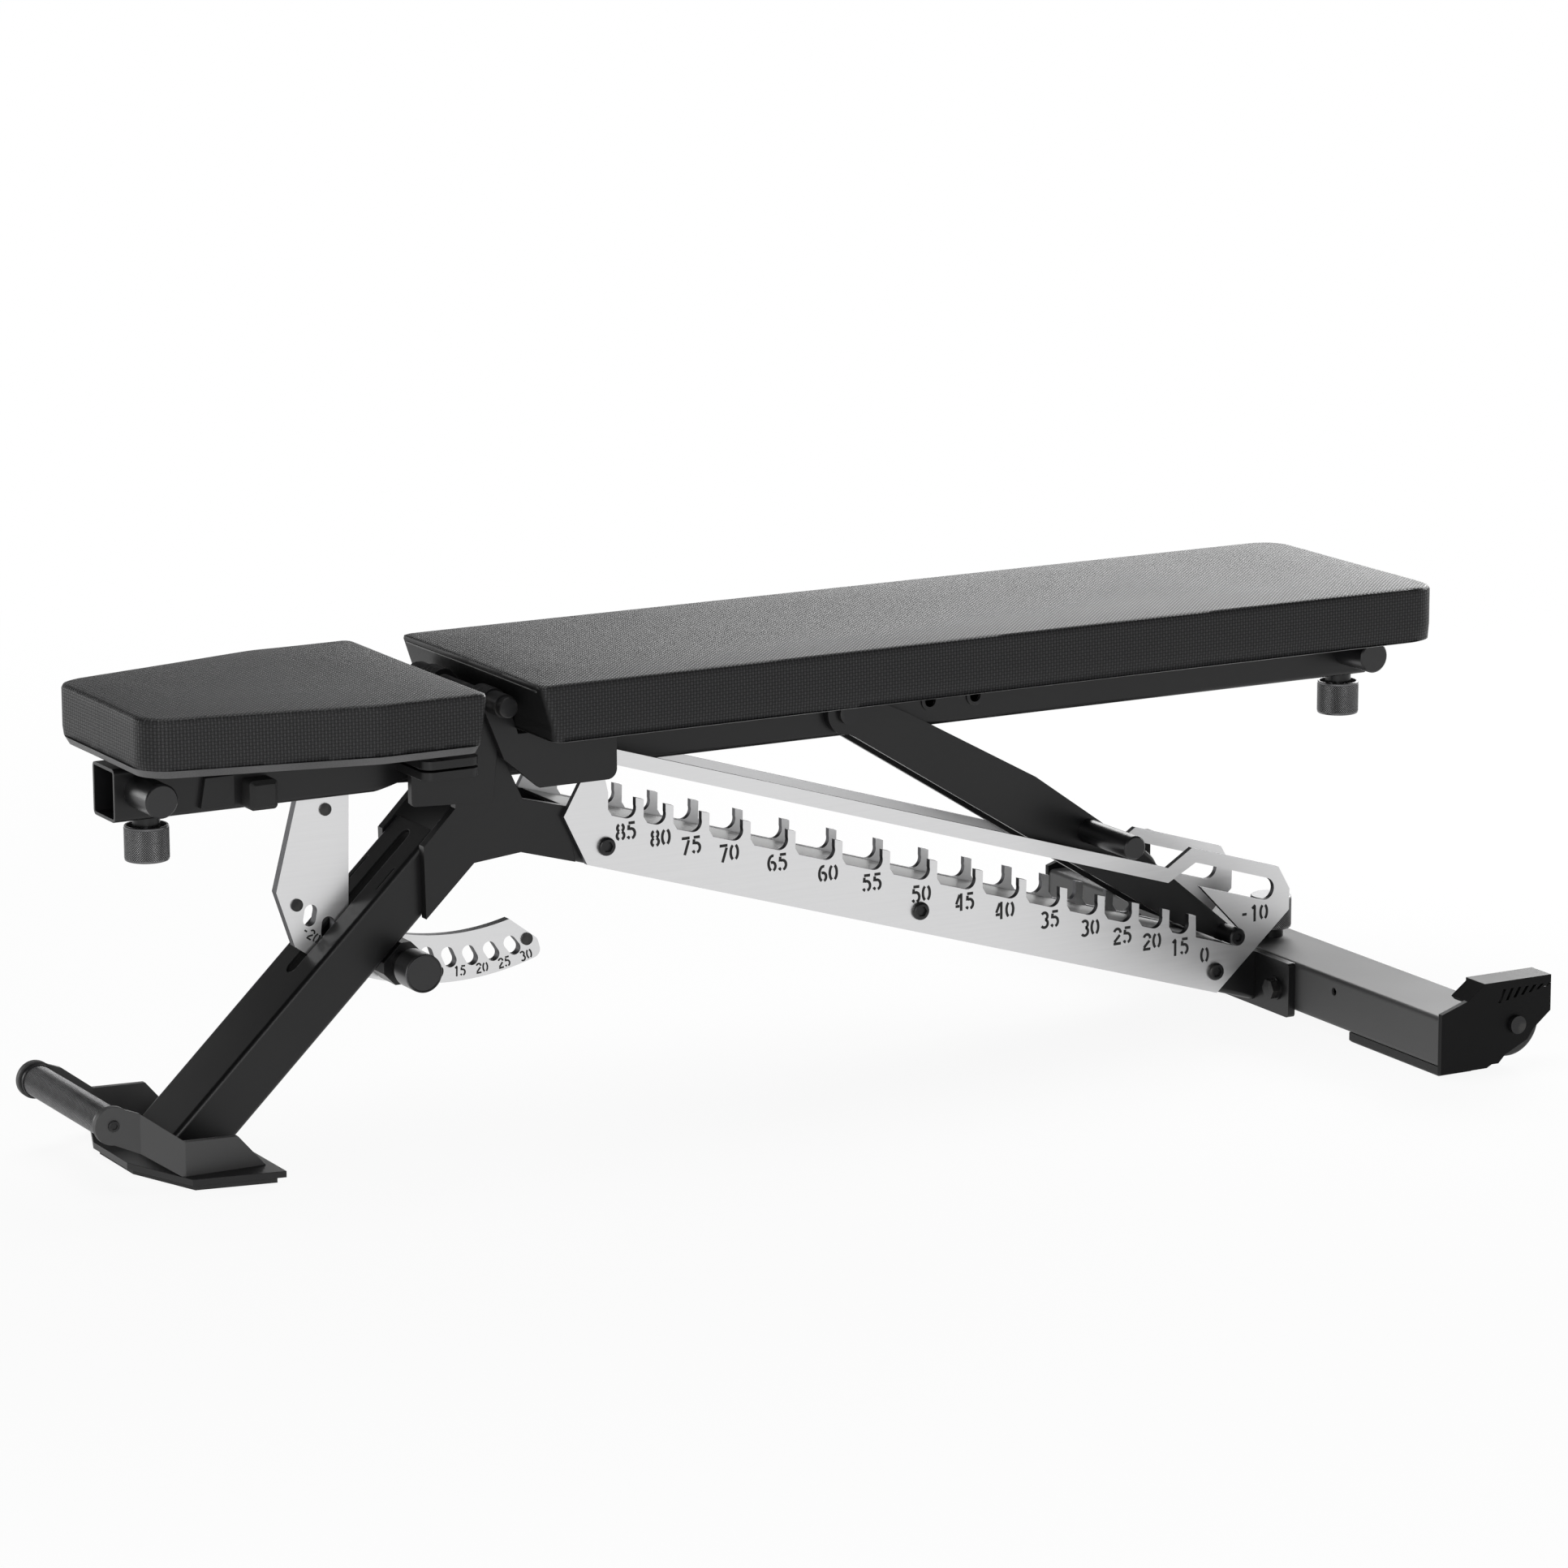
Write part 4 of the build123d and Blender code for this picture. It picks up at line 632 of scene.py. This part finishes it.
def knurl_tree():
    """Diamond knurl: a closed sleeve whose outer points stand high and low in turn."""
    kinds = dict.fromkeys(("Radius", "Depth", "Wall", "Length", "Around", "Rows"), "Float")
    tree, given = new_tree("diamond_knurl", "Sleeve", {**kinds, "Finish": "Material"})
    around, rows = given["Around"], given["Rows"]
    sheet_size = {
        "Size X": around * 2.0,
        "Size Y": rows + 2.0,
        "Vertices X": around * 2.0 + 1.0,
        "Vertices Y": rows + 3.0,
    }
    sheet = around.node("GeometryNodeMeshGrid", None, sheet_size)
    across, along, _ = around.node("GeometryNodeInputPosition").axes()
    step = (across + around).math("ROUND")
    row = (along + rows * 0.5 + 1.0).math("ROUND")
    angle = step * pi / around
    outer = (row > 0.5) * (row < rows + 0.5)
    high = 1.0 - (step + row) % 2.0
    radius = given["Radius"] - given["Wall"] + outer * (given["Wall"] + given["Depth"] * high)
    level = ((row - 1.0) / (rows - 1.0)).math("MAXIMUM", 0.0).math("MINIMUM", 1.0)
    height = level * given["Length"] * (row < rows + 1.5)
    corner = {"X": radius * angle.math("COSINE"), "Y": radius * angle.math("SINE"), "Z": height}
    place = radius.node("ShaderNodeCombineXYZ", None, corner)
    # Crest mark: where the knurl's material paints its highlight, and its shade in the cuts
    marks = {"Geometry": sheet, "Name": "crest_highlight", "Value": high}
    marked = place.node("GeometryNodeStoreNamedAttribute", None, marks)
    rolled = place.node("GeometryNodeSetPosition", None, {"Geometry": marked, "Position": place})
    closed = rolled.node("GeometryNodeMergeByDistance", None, {"Geometry": rolled, "Distance": 1e-6})
    cut = closed.node("GeometryNodeTriangulate", {"quad_method": "SHORTEST_DIAGONAL"}, {"Mesh": closed})
    return ended(tree, cut, given["Finish"])


def grown(name, tree, inputs, start=None):
    """Plain mesh that a geometry tree makes with named inputs, from a starting mesh if one is given."""
    host = bpy.data.objects.new(name, start or bpy.data.meshes.new(name))
    scene.collection.objects.link(host)
    modifier = host.modifiers.new("grow", "NODES")
    modifier.node_group = tree
    for item in tree.interface.items_tree:
        if item.in_out == "INPUT" and item.name in inputs:
            modifier[item.identifier] = inputs[item.name]
    mesh = baked(host)
    bpy.data.objects.remove(host)
    return mesh


diamond_knurl = knurl_tree()


def knurled_sleeve(name, body, cad_radius, length, place):
    """Knurled sleeve over a round CAD part, its axis along the place's Z."""
    radius = cad_radius + KNURL_PROUD
    inputs = {
        "Radius": radius,
        "Depth": KNURL_DEPTH,
        "Wall": KNURL_WALL,
        "Length": length,
        "Around": float(round(pi * radius / KNURL_STEP)),
        "Rows": float(round(length / KNURL_STEP)),
        "Finish": knurl_finish,
    }
    mesh = grown(name, diamond_knurl, inputs)
    mesh.transform(place)
    new_piece(name, tidy_mesh(mesh), body, "knob_black", knurl_finish)


PIN_KNOB_HEIGHT = 0.033
PIN_KNOB_BAND = 0.0285
for pin in ("seat_pin", "back_pin", "rear_pin"):
    pin_low, pin_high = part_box(pin)
    knob_radius = (pin_high.x - pin_low.x) / 2
    band_low = pin_low.z + (PIN_KNOB_HEIGHT - PIN_KNOB_BAND) / 2
    if pin == "rear_pin":
        band_low += pin_high.z - pin_low.z - PIN_KNOB_HEIGHT
    knob_middle = (pin_low + pin_high) / 2
    knob_place = Matrix.Translation((knob_middle.x, knob_middle.y, band_low))
    knurled_sleeve(pin + "_knurl", pin, knob_radius, PIN_KNOB_BAND, knob_place)

GRIP_BARE_END = 0.0065
GRIP_COLLAR_STEP = 0.0015
grip_low, grip_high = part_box("front_grip")
grip_radius = (grip_high.x - grip_low.x) / 2 - GRIP_COLLAR_STEP
grip_middle = (grip_low + grip_high) / 2
grip_start = Matrix.Translation((grip_middle.x, grip_high.y - GRIP_BARE_END, grip_middle.z))
grip_place = grip_start @ Matrix.Rotation(radians(90), 4, "X")
grip_length = grip_high.y - grip_low.y - 2 * GRIP_BARE_END
knurled_sleeve("front_grip_knurl", "base", grip_radius, grip_length, grip_place)


# Ends of the ladder pin, which rest in the notches


def turned_shape(profile, steps):
    """Closed round mesh about Z from pairs of height and radius, its ends on the axis."""
    work = bmesh.new()
    rings = []
    for height, radius in profile:
        if radius == 0:
            rings.append([work.verts.new((0, 0, height))])
            continue
        angles = [2 * pi * i / steps for i in range(steps)]
        rings.append([work.verts.new((radius * cos(a), radius * sin(a), height)) for a in angles])
    for below, above in zip(rings, rings[1:]):
        for i in range(steps):
            j = (i + 1) % steps
            if len(below) == 1:
                work.faces.new((below[0], above[j], above[i]))
            elif len(above) == 1:
                work.faces.new((below[i], below[j], above[0]))
            else:
                work.faces.new((below[i], below[j], above[j], above[i]))
    bmesh.ops.recalc_face_normals(work, faces=work.faces)
    return written(work, bpy.data.meshes.new("turned_shape"))


PIN_END_REACH = 0.0125
PIN_END_CHAMFER = 0.0015
PIN_DISH_DEPTH = 0.003
PIN_DISH_RIM = 0.0045
PIN_DISH_FLOOR = 0.0035
PIN_END_STEPS = 40
pin_low, pin_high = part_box("ladder_pin")
pin_middle = (pin_low + pin_high) / 2
pin_radius = (pin_high.z - pin_low.z) / 2
pin_profile = (
    (0.0, 0.0),
    (0.0, pin_radius),
    (PIN_END_REACH - PIN_END_CHAMFER, pin_radius),
    (PIN_END_REACH, pin_radius - PIN_END_CHAMFER),
    (PIN_END_REACH, PIN_DISH_RIM),
    (PIN_END_REACH - PIN_DISH_DEPTH, PIN_DISH_FLOOR),
    (PIN_END_REACH - PIN_DISH_DEPTH, 0.0),
)
pin_ends = []
for end, turn in ((pin_low.y, 90), (pin_high.y, -90)):
    end_mesh = turned_shape(pin_profile, PIN_END_STEPS)
    end_place = Matrix.Translation((pin_middle.x, end, pin_middle.z))
    end_mesh.transform(end_place @ Matrix.Rotation(radians(turn), 4, "X"))
    pin_ends.append(end_mesh)
new_piece("ladder_pin_ends", joined("ladder_pin_ends", pin_ends), "strut", "fastener_dark")


# Dished cap of the sector's pop pin

CAP_RIM = 0.0011
CAP_CLEAR = 0.0002
CAP_STEPS = 64
knob_low, knob_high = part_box("sector_pin")
cap_radius = (knob_high.x - knob_low.x) / 2 - CAP_CLEAR
cap_profile = (
    (0.0, 0.0),
    (0.0, cap_radius),
    (CAP_RIM * 0.6, cap_radius),
    (CAP_RIM, cap_radius - CAP_RIM * 0.5),
    (CAP_RIM, cap_radius - CAP_RIM * 1.1),
    (CAP_RIM * 0.3, cap_radius - CAP_RIM * 1.6),
    (CAP_RIM * 0.3, 0.0),
)
cap_mesh = turned_shape(cap_profile, CAP_STEPS)
knob_middle = (knob_low + knob_high) / 2
cap_place = Matrix.Translation((knob_middle.x, knob_low.y, knob_middle.z))
cap_mesh.transform(cap_place @ Matrix.Rotation(radians(90), 4, "X"))
new_piece("sector_pin_cap", cap_mesh, "sector_pin", "knob_black", finishes["grip_dark"])


# Cover hems, staples and pad bolts under the two boards: metres, the staples' turn in radians

HEM_THICK = 0.0009
HEM_SINK = 0.0002
HEM_EDGE = 0.0057
HEM_FOLD = 0.0015
HEM_WIDTH = 0.022
HEM_AT_HINGE = 0.0045
STAPLE_GAP = 0.027
STAPLE_TURN = 0.12
STAPLE_SIZE = (0.0105, 0.0011, 0.0008)
BOLT_RADIUS = 0.0070
BOLT_HEIGHT = 0.0036
BOLT_FROM_END = 0.016
BOLT_STEPS = 32
BOLT_PROFILE = [
    (0.0, 0.0),
    (0.0, BOLT_RADIUS),
    (BOLT_HEIGHT * 0.4, BOLT_RADIUS),
    (BOLT_HEIGHT * 0.8, BOLT_RADIUS * 0.8),
    (BOLT_HEIGHT, BOLT_RADIUS * 0.55),
    (BOLT_HEIGHT, BOLT_RADIUS * 0.36),
    (BOLT_HEIGHT * 0.4, BOLT_RADIUS * 0.34),
    (BOLT_HEIGHT * 0.4, 0.0),
]
CROSS_PLATE_LOW = 0.378

# Bolts of each pad: a cross plate's place along the bench and half its width
BACK_BOLTS = ((0.330, 0.105), (0.640, 0.105))
SEAT_BOLTS = ((-0.600, 0.085), (-0.420, 0.105))


def board_outline(node_name):
    """Points around a board's underside, in order."""
    work = bmesh.new()
    work.from_mesh(nodes[node_name].data)
    bmesh.ops.remove_doubles(work, verts=work.verts, dist=1e-6)
    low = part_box(node_name)[0].z
    bmesh.ops.delete(work, geom=[v for v in work.verts if v.co.z > low + 1e-5], context="VERTS")
    rim = [edge.link_loops[0] for edge in work.edges if len(edge.link_faces) == 1]
    follow = {loop.vert: loop.link_loop_next.vert for loop in rim}
    first = max(follow, key=lambda vert: vert.co.y)
    points = [first.co.copy()]
    here = follow[first]
    while here != first:
        points.append(here.co.copy())
        here = follow[here]
    work.free()
    return points


def moved_out(points, distance, level):
    """Clockwise loop of points moved outwards, at a level."""
    moved = []
    for before, here, after in zip(points[-1:] + points[:-1], points, points[1:] + points[:1]):
        arriving = (here - before).normalized()
        way = (arriving + (after - here).normalized()).normalized()
        reach = distance / way.dot(arriving)
        moved.append((here.x - way.y * reach, here.y + way.x * reach, level))
    return moved


def drawn_in(points, front, rear, side, level):
    """Loop of points moved in from its front, rear and sides, at a level."""
    front_x = min(point.x for point in points)
    rear_x = max(point.x for point in points)
    half = max(point.y for point in points)
    along = 1 - (front + rear) / (rear_x - front_x)
    across = 1 - side / half
    return [(front_x + front + (p.x - front_x) * along, p.y * across, level) for p in points]


def closed_strip(name, loops):
    """Closed mesh through loops of points, the last joined to the first."""
    work = bmesh.new()
    rings = [[work.verts.new(point) for point in loop] for loop in loops]
    for ring, other in zip(rings, rings[1:] + rings[:1]):
        for i in range(len(ring)):
            j = (i + 1) % len(ring)
            work.faces.new((ring[i], ring[j], other[j], other[i]))
    bmesh.ops.recalc_face_normals(work, faces=work.faces)
    return written(work, bpy.data.meshes.new(name))


def staple_tree():
    """Row of staples along a path of edges, each turned a little."""
    kinds = {"Path": "Geometry", "Gap": "Float", "Turn": "Float", "Size": "Vector", "Finish": "Material"}
    tree, given = new_tree("staple_row", "Staples", kinds)
    path = given["Path"].node("GeometryNodeMeshToCurve", None, {0: given["Path"]})
    spacing = {"Curve": path, "Length": given["Gap"]}
    spaced = path.node("GeometryNodeResampleCurve", {"mode": "LENGTH"}, spacing)
    tangent = path.node("GeometryNodeInputTangent")
    heading = path.node("FunctionNodeAlignRotationToVector", {"axis": "X"}, {"Vector": tangent})
    limits = {2: given["Turn"] * -1.0, 3: given["Turn"], "Seed": 5}
    swing = path.node("FunctionNodeRandomValue", None, limits, output=1)
    angles = swing.node("ShaderNodeCombineXYZ", None, {"Z": swing})
    askew = path.node("FunctionNodeEulerToRotation", None, {0: angles})
    turned = path.node("FunctionNodeRotateRotation", {"rotation_space": "LOCAL"}, {0: heading, 1: askew})
    staple = path.node("GeometryNodeMeshCube", None, {"Size": given["Size"]})
    placed = {"Points": spaced, "Instance": staple, "Rotation": turned}
    row = path.node("GeometryNodeInstanceOnPoints", None, placed)
    return ended(tree, row, given["Finish"])


staple_row = staple_tree()
hem_vinyl = rubber("hem_vinyl", (0.085, 0.085, 0.086), 0.45)


def finish_underside(pad, cover_low, front, rear, bolts):
    """Hem, staples and bolts under one pad's board."""
    outline = board_outline(pad + "_board")
    low = outline[0].z
    loops = [
        moved_out(outline, HEM_EDGE, cover_low + HEM_SINK),
        moved_out(outline, HEM_FOLD, low - HEM_THICK),
        drawn_in(outline, front, rear, HEM_WIDTH, low - HEM_THICK),
        drawn_in(outline, front, rear, HEM_WIDTH, low + HEM_SINK),
    ]
    new_piece(pad + "_hem", closed_strip(pad + "_hem", loops), pad, "cushion_vinyl", hem_vinyl)
    row = drawn_in(outline, front / 2, rear / 2, HEM_WIDTH / 2, low - HEM_THICK)
    path = bpy.data.meshes.new("staple_path")
    path.from_pydata(row, [(i, (i + 1) % len(row)) for i in range(len(row))], [])
    inputs = {
        "Gap": STAPLE_GAP,
        "Turn": STAPLE_TURN,
        "Size": STAPLE_SIZE,
        "Finish": finishes["plate_silver"],
    }
    staples = grown(pad + "_staples", staple_row, inputs, path)
    new_piece(pad + "_staples", tidy_mesh(staples), pad, "plate_silver")
    heads = []
    for x, half in bolts:
        for side in (-1, 1):
            head = turned_shape(BOLT_PROFILE, BOLT_STEPS)
            place = Matrix.Translation((x, side * (half - BOLT_FROM_END), CROSS_PLATE_LOW + HEM_SINK))
            head.transform(place @ Matrix.Rotation(pi, 4, "X"))
            heads.append(head)
    new_piece(pad + "_pad_bolts", joined(pad + "_pad_bolts", heads), pad, "fastener_dark")


finish_underside("back", BACK_COVER_LOW, HEM_AT_HINGE, HEM_WIDTH, BACK_BOLTS)
finish_underside("seat", SEAT_COVER_LOW, HEM_WIDTH, HEM_AT_HINGE, SEAT_BOLTS)


# Angle numbers on the ladder and the sector

LADDER_NUMBERS = {
    "85": (-0.1525, 0.2690),
    "80": (-0.1155, 0.2585),
    "75": (-0.0825, 0.2470),
    "70": (-0.0415, 0.2350),
    "65": (0.0115, 0.2190),
    "60": (0.0675, 0.2020),
    "55": (0.1165, 0.1870),
    "50": (0.1720, 0.1690),
    "45": (0.2215, 0.1550),
    "40": (0.2675, 0.1410),
    "35": (0.3195, 0.1250),
    "30": (0.3665, 0.1110),
    "25": (0.4045, 0.0980),
    "20": (0.4395, 0.0880),
    "15": (0.4725, 0.0780),
    "0": (0.5025, 0.0660),
    "-10": (0.5615, 0.1020),
}
LADDER_NUMBER_SIZE = 0.0176
SECTOR_NUMBERS = (-20, -15, -10, -5, 0, 5, 10, 15, 20, 25, 30)
SECTOR_NUMBER_SIZE = 0.0104
SECTOR_NUMBER_RADIUS = 0.2705
SECTOR_NUMBER_LEAD = 2.6
SECTOR_PIN_ANGLE = 19.6
NUMBER_PROUD = 0.00015
STROKE_WIDTH = 0.160
FIGURE_PITCH = 0.66


def bow(x, y, wide, tall, start, end):
    """Points along part of an oval, from one angle to another."""
    angles = [radians(start + (end - start) * i / 12) for i in range(13)]
    return [(x + wide * cos(a), y + tall * sin(a)) for a in angles]


# Strokes of each stencilled figure, one high, about its middle
FIGURES = {
    "0": [bow(0, 0, 0.22, 0.42, 113, 247), bow(0, 0, 0.22, 0.42, -67, 67)],
    "1": [[(0.04, -0.5), (0.04, 0.36)], [(0.08, 0.46), (-0.14, 0.28)]],
    "2": [
        bow(0, 0.20, 0.21, 0.23, 165, -5),
        [(0.17, 0.06), (-0.20, -0.33)],
        [(-0.25, -0.43), (0.24, -0.43)],
    ],
    "3": [bow(-0.02, 0.22, 0.20, 0.21, 145, -75), bow(-0.02, -0.20, 0.22, 0.23, 75, -145)],
    "4": [[(0.10, -0.5), (0.10, 0.5)], [(0.0, 0.44), (-0.22, -0.10)], [(-0.26, -0.22), (0.0, -0.22)]],
    "5": [
        [(-0.17, 0.43), (0.21, 0.43)],
        [(-0.15, 0.32), (-0.17, 0.04)],
        bow(-0.02, -0.16, 0.23, 0.27, 110, -75),
        bow(-0.02, -0.16, 0.23, 0.27, -110, -150),
    ],
    "6": [bow(0.03, 0, 0.25, 0.42, 75, 248), bow(0, -0.18, 0.21, 0.24, -68, 112)],
    "7": [[(-0.24, 0.43), (0.24, 0.43)], [(0.19, 0.31), (-0.07, -0.5)]],
    "8": [
        bow(0, 0.22, 0.19, 0.20, 115, 245),
        bow(0, 0.22, 0.19, 0.20, -65, 65),
        bow(0, -0.21, 0.22, 0.22, 112, 248),
        bow(0, -0.21, 0.22, 0.22, -68, 68),
    ],
    "-": [[(-0.15, 0), (0.15, 0)]],
}


def add_stroke(work, points, size, place):
    """Adds one stroke as a flat closed bar along its points."""
    rings = []
    for i, (x, y) in enumerate(points):
        before, after = points[max(i - 1, 0)], points[min(i + 1, len(points) - 1)]
        way = Vector((after[0] - before[0], after[1] - before[1], 0)).normalized()
        half = Vector((-way.y, way.x, 0)) * (STROKE_WIDTH / 2 * size)
        middle, up = Vector((x, y, 0)) * size, Vector((0, 0, NUMBER_PROUD))
        corners = (middle - half - up, middle + half - up, middle + half + up, middle - half + up)
        rings.append([work.verts.new(place @ corner) for corner in corners])
    for first, second in zip(rings, rings[1:]):
        for i in range(4):
            j = (i + 1) % 4
            work.faces.new((first[i], first[j], second[j], second[i]))
    work.faces.new(rings[0][::-1])
    work.faces.new(rings[-1])


def number_mesh(numbers, size):
    """One mesh of whole numbers, each with its middle at its place."""
    work = bmesh.new()
    pitch = size * FIGURE_PITCH
    for text, place in numbers:
        start = -pitch * (len(text) - 1) / 2
        for i, letter in enumerate(text):
            for points in FIGURES[letter]:
                add_stroke(work, points, size, place @ Matrix.Translation((start + i * pitch, 0, 0)))
    bmesh.ops.recalc_face_normals(work, faces=work.faces)
    return written(work, bpy.data.meshes.new("numbers"))


def on_side(x, y, z, side, turn=0.0):
    """Place on a plate's outer face: reading upright from that side, turned in the plate's plane."""
    across = Vector((1.0, 0.0, 0.0)) * -side
    axes = Matrix((across, Vector((0, 0, 1)), Vector((0, side, 0)))).transposed().to_4x4()
    return Matrix.Translation((x, y, z)) @ axes @ Matrix.Rotation(turn * -side, 4, "Z")


for ladder in ("left", "right"):
    side = -1 if ladder == "left" else 1
    plate_low, plate_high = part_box("ladder_plate_" + ladder)
    face_y = plate_low.y if side < 0 else plate_high.y
    numbers = [(text, on_side(x, face_y, z, side)) for text, (x, z) in LADDER_NUMBERS.items()]
    mesh = number_mesh(numbers, LADDER_NUMBER_SIZE)
    new_piece("ladder_numbers_" + ladder, mesh, "base", "fastener_dark", number_shade)

axle_low, axle_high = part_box("hinge_axle")
axle = (axle_low + axle_high) / 2
sector_low, sector_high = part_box("seat_sector")
numbers = []
for side, face_y in ((-1, sector_low.y), (1, sector_high.y)):
    for label in SECTOR_NUMBERS:
        angle = radians(label - SECTOR_PIN_ANGLE + SECTOR_NUMBER_LEAD)
        x, z = axle.x + SECTOR_NUMBER_RADIUS * sin(angle), axle.z - SECTOR_NUMBER_RADIUS * cos(angle)
        numbers.append((str(label), on_side(x, face_y, z, side, angle)))
mesh = number_mesh(numbers, SECTOR_NUMBER_SIZE)
new_piece("sector_numbers", mesh, "seat", "fastener_dark", number_shade)


# Floor, light and camera


def studio_floor():
    """Pale floor and round wall, white to the camera, that still take the bench's shadow near it."""
    material, shader, place, _ = finish("studio_floor", (0.86, 0.86, 0.86), 0.9)
    tree = material.node_tree
    rays = tree.nodes.new("ShaderNodeLightPath")
    seen = Value(tree, rays.outputs["Is Camera Ray"])
    for ray in ("Is Glossy Ray", "Is Transmission Ray"):
        seen = seen.math("MAXIMUM", Value(tree, rays.outputs[ray]))
    speck = place.noise(40.0, 2.0)
    plug(shader.inputs["Roughness"], speck * 0.1 + 0.85)
    white = tree.nodes.new("ShaderNodeEmission")
    white.inputs["Strength"].default_value = 1.0
    distance = place.node("ShaderNodeVectorMath", {"operation": "LENGTH"}, {0: place}, output=1)
    mix = tree.nodes.new("ShaderNodeMixShader")
    plug(mix.inputs[0], seen * (distance.between(0.7, 2.6) * (1.0 - FLOOR_WHITE) + FLOOR_WHITE))
    tree.links.new(shader.outputs[0], mix.inputs[1])
    tree.links.new(white.outputs[0], mix.inputs[2])
    tree.links.new(mix.outputs[0], tree.nodes["Material Output"].inputs["Surface"])
    cove = [radians(9.0 * i) for i in range(11)]
    bend = [(ROOM_COVE * (1 - cos(a)), ROOM_RADIUS - ROOM_COVE * (1 - sin(a))) for a in cove]
    work = bmesh.new()
    profile = [(0.0, 0.0), *bend, (ROOM_HEIGHT, ROOM_RADIUS)]
    points = [work.verts.new((radius, 0, height)) for height, radius in profile]
    edges = [work.edges.new(pair) for pair in zip(points, points[1:])]
    spin = {"axis": (0, 0, 1), "cent": (0, 0, 0), "angle": 2 * pi, "steps": 96}
    bmesh.ops.spin(work, geom=points + edges, **spin)
    bmesh.ops.remove_doubles(work, verts=work.verts, dist=1e-5)
    mesh = written(work, bpy.data.meshes.new("studio_floor"))
    mesh.materials.append(material)
    floor = bpy.data.objects.new("studio_floor", mesh)
    scene.collection.objects.link(floor)


def studio_world():
    """Soft grey room over the wall."""
    world = bpy.data.worlds.new("studio_world")
    world.use_nodes = True
    world.node_tree.nodes["Background"].inputs["Strength"].default_value = ROOM_LIGHT
    scene.world = world


def softbox(name, place, aim, width, height, strength):
    """Area lamp of an even brightness, where 1 is as bright as white paper."""
    lamp = bpy.data.lights.new(name, "AREA")
    lamp.shape = "RECTANGLE"
    lamp.size = width
    lamp.size_y = height
    lamp.energy = strength * pi * width * height
    holder = bpy.data.objects.new(name, lamp)
    scene.collection.objects.link(holder)
    holder.location = place
    holder.rotation_euler = (Vector(aim) - Vector(place)).to_track_quat("-Z", "Y").to_euler()
    holder.visible_camera = False


def photo_camera():
    """Camera at the photograph's place, in its angle."""
    turn, lift, roll = radians(CAMERA_TURN), radians(CAMERA_LIFT), radians(CAMERA_ROLL)
    right = Vector((cos(turn), sin(turn), 0))
    back = Vector((sin(turn) * cos(lift), -cos(turn) * cos(lift), sin(lift)))
    up = back.cross(right)
    across = right * cos(roll) + up * sin(roll)
    upward = up * cos(roll) - right * sin(roll)
    camera = bpy.data.cameras.new("photo_camera")
    camera.lens = CAMERA_LENS
    camera.sensor_width = CAMERA_SENSOR
    camera.clip_end = 100.0
    holder = bpy.data.objects.new("photo_camera", camera)
    scene.collection.objects.link(holder)
    axes = Matrix((across, upward, back)).transposed().to_4x4()
    holder.matrix_world = Matrix.Translation(CAMERA_PLACE) @ axes
    scene.camera = holder


studio_floor()
studio_world()
softbox("key_softbox", (-2.2, -3.9, 1.3), (-0.2, 0.0, 0.3), 1.8, 1.6, 6.0)
softbox("back_softbox", (2.8, 2.8, 1.85), (0.2, 0.0, 0.4), 2.6, 1.5, 5.2)
softbox("side_softbox", (-2.3, 3.2, 0.6), (0.2, 0.0, 0.25), 2.0, 1.0, 2.6)
softbox("end_softbox", (3.1, 1.3, 1.3), (0.3, 0.0, 0.35), 1.6, 0.7, 19.0)
softbox("top_softbox", (-0.2, 0.4, 3.4), (0.0, 0.0, 0.3), 3.0, 2.0, 3.4)
photo_camera()
scene.view_settings.view_transform = "Standard"
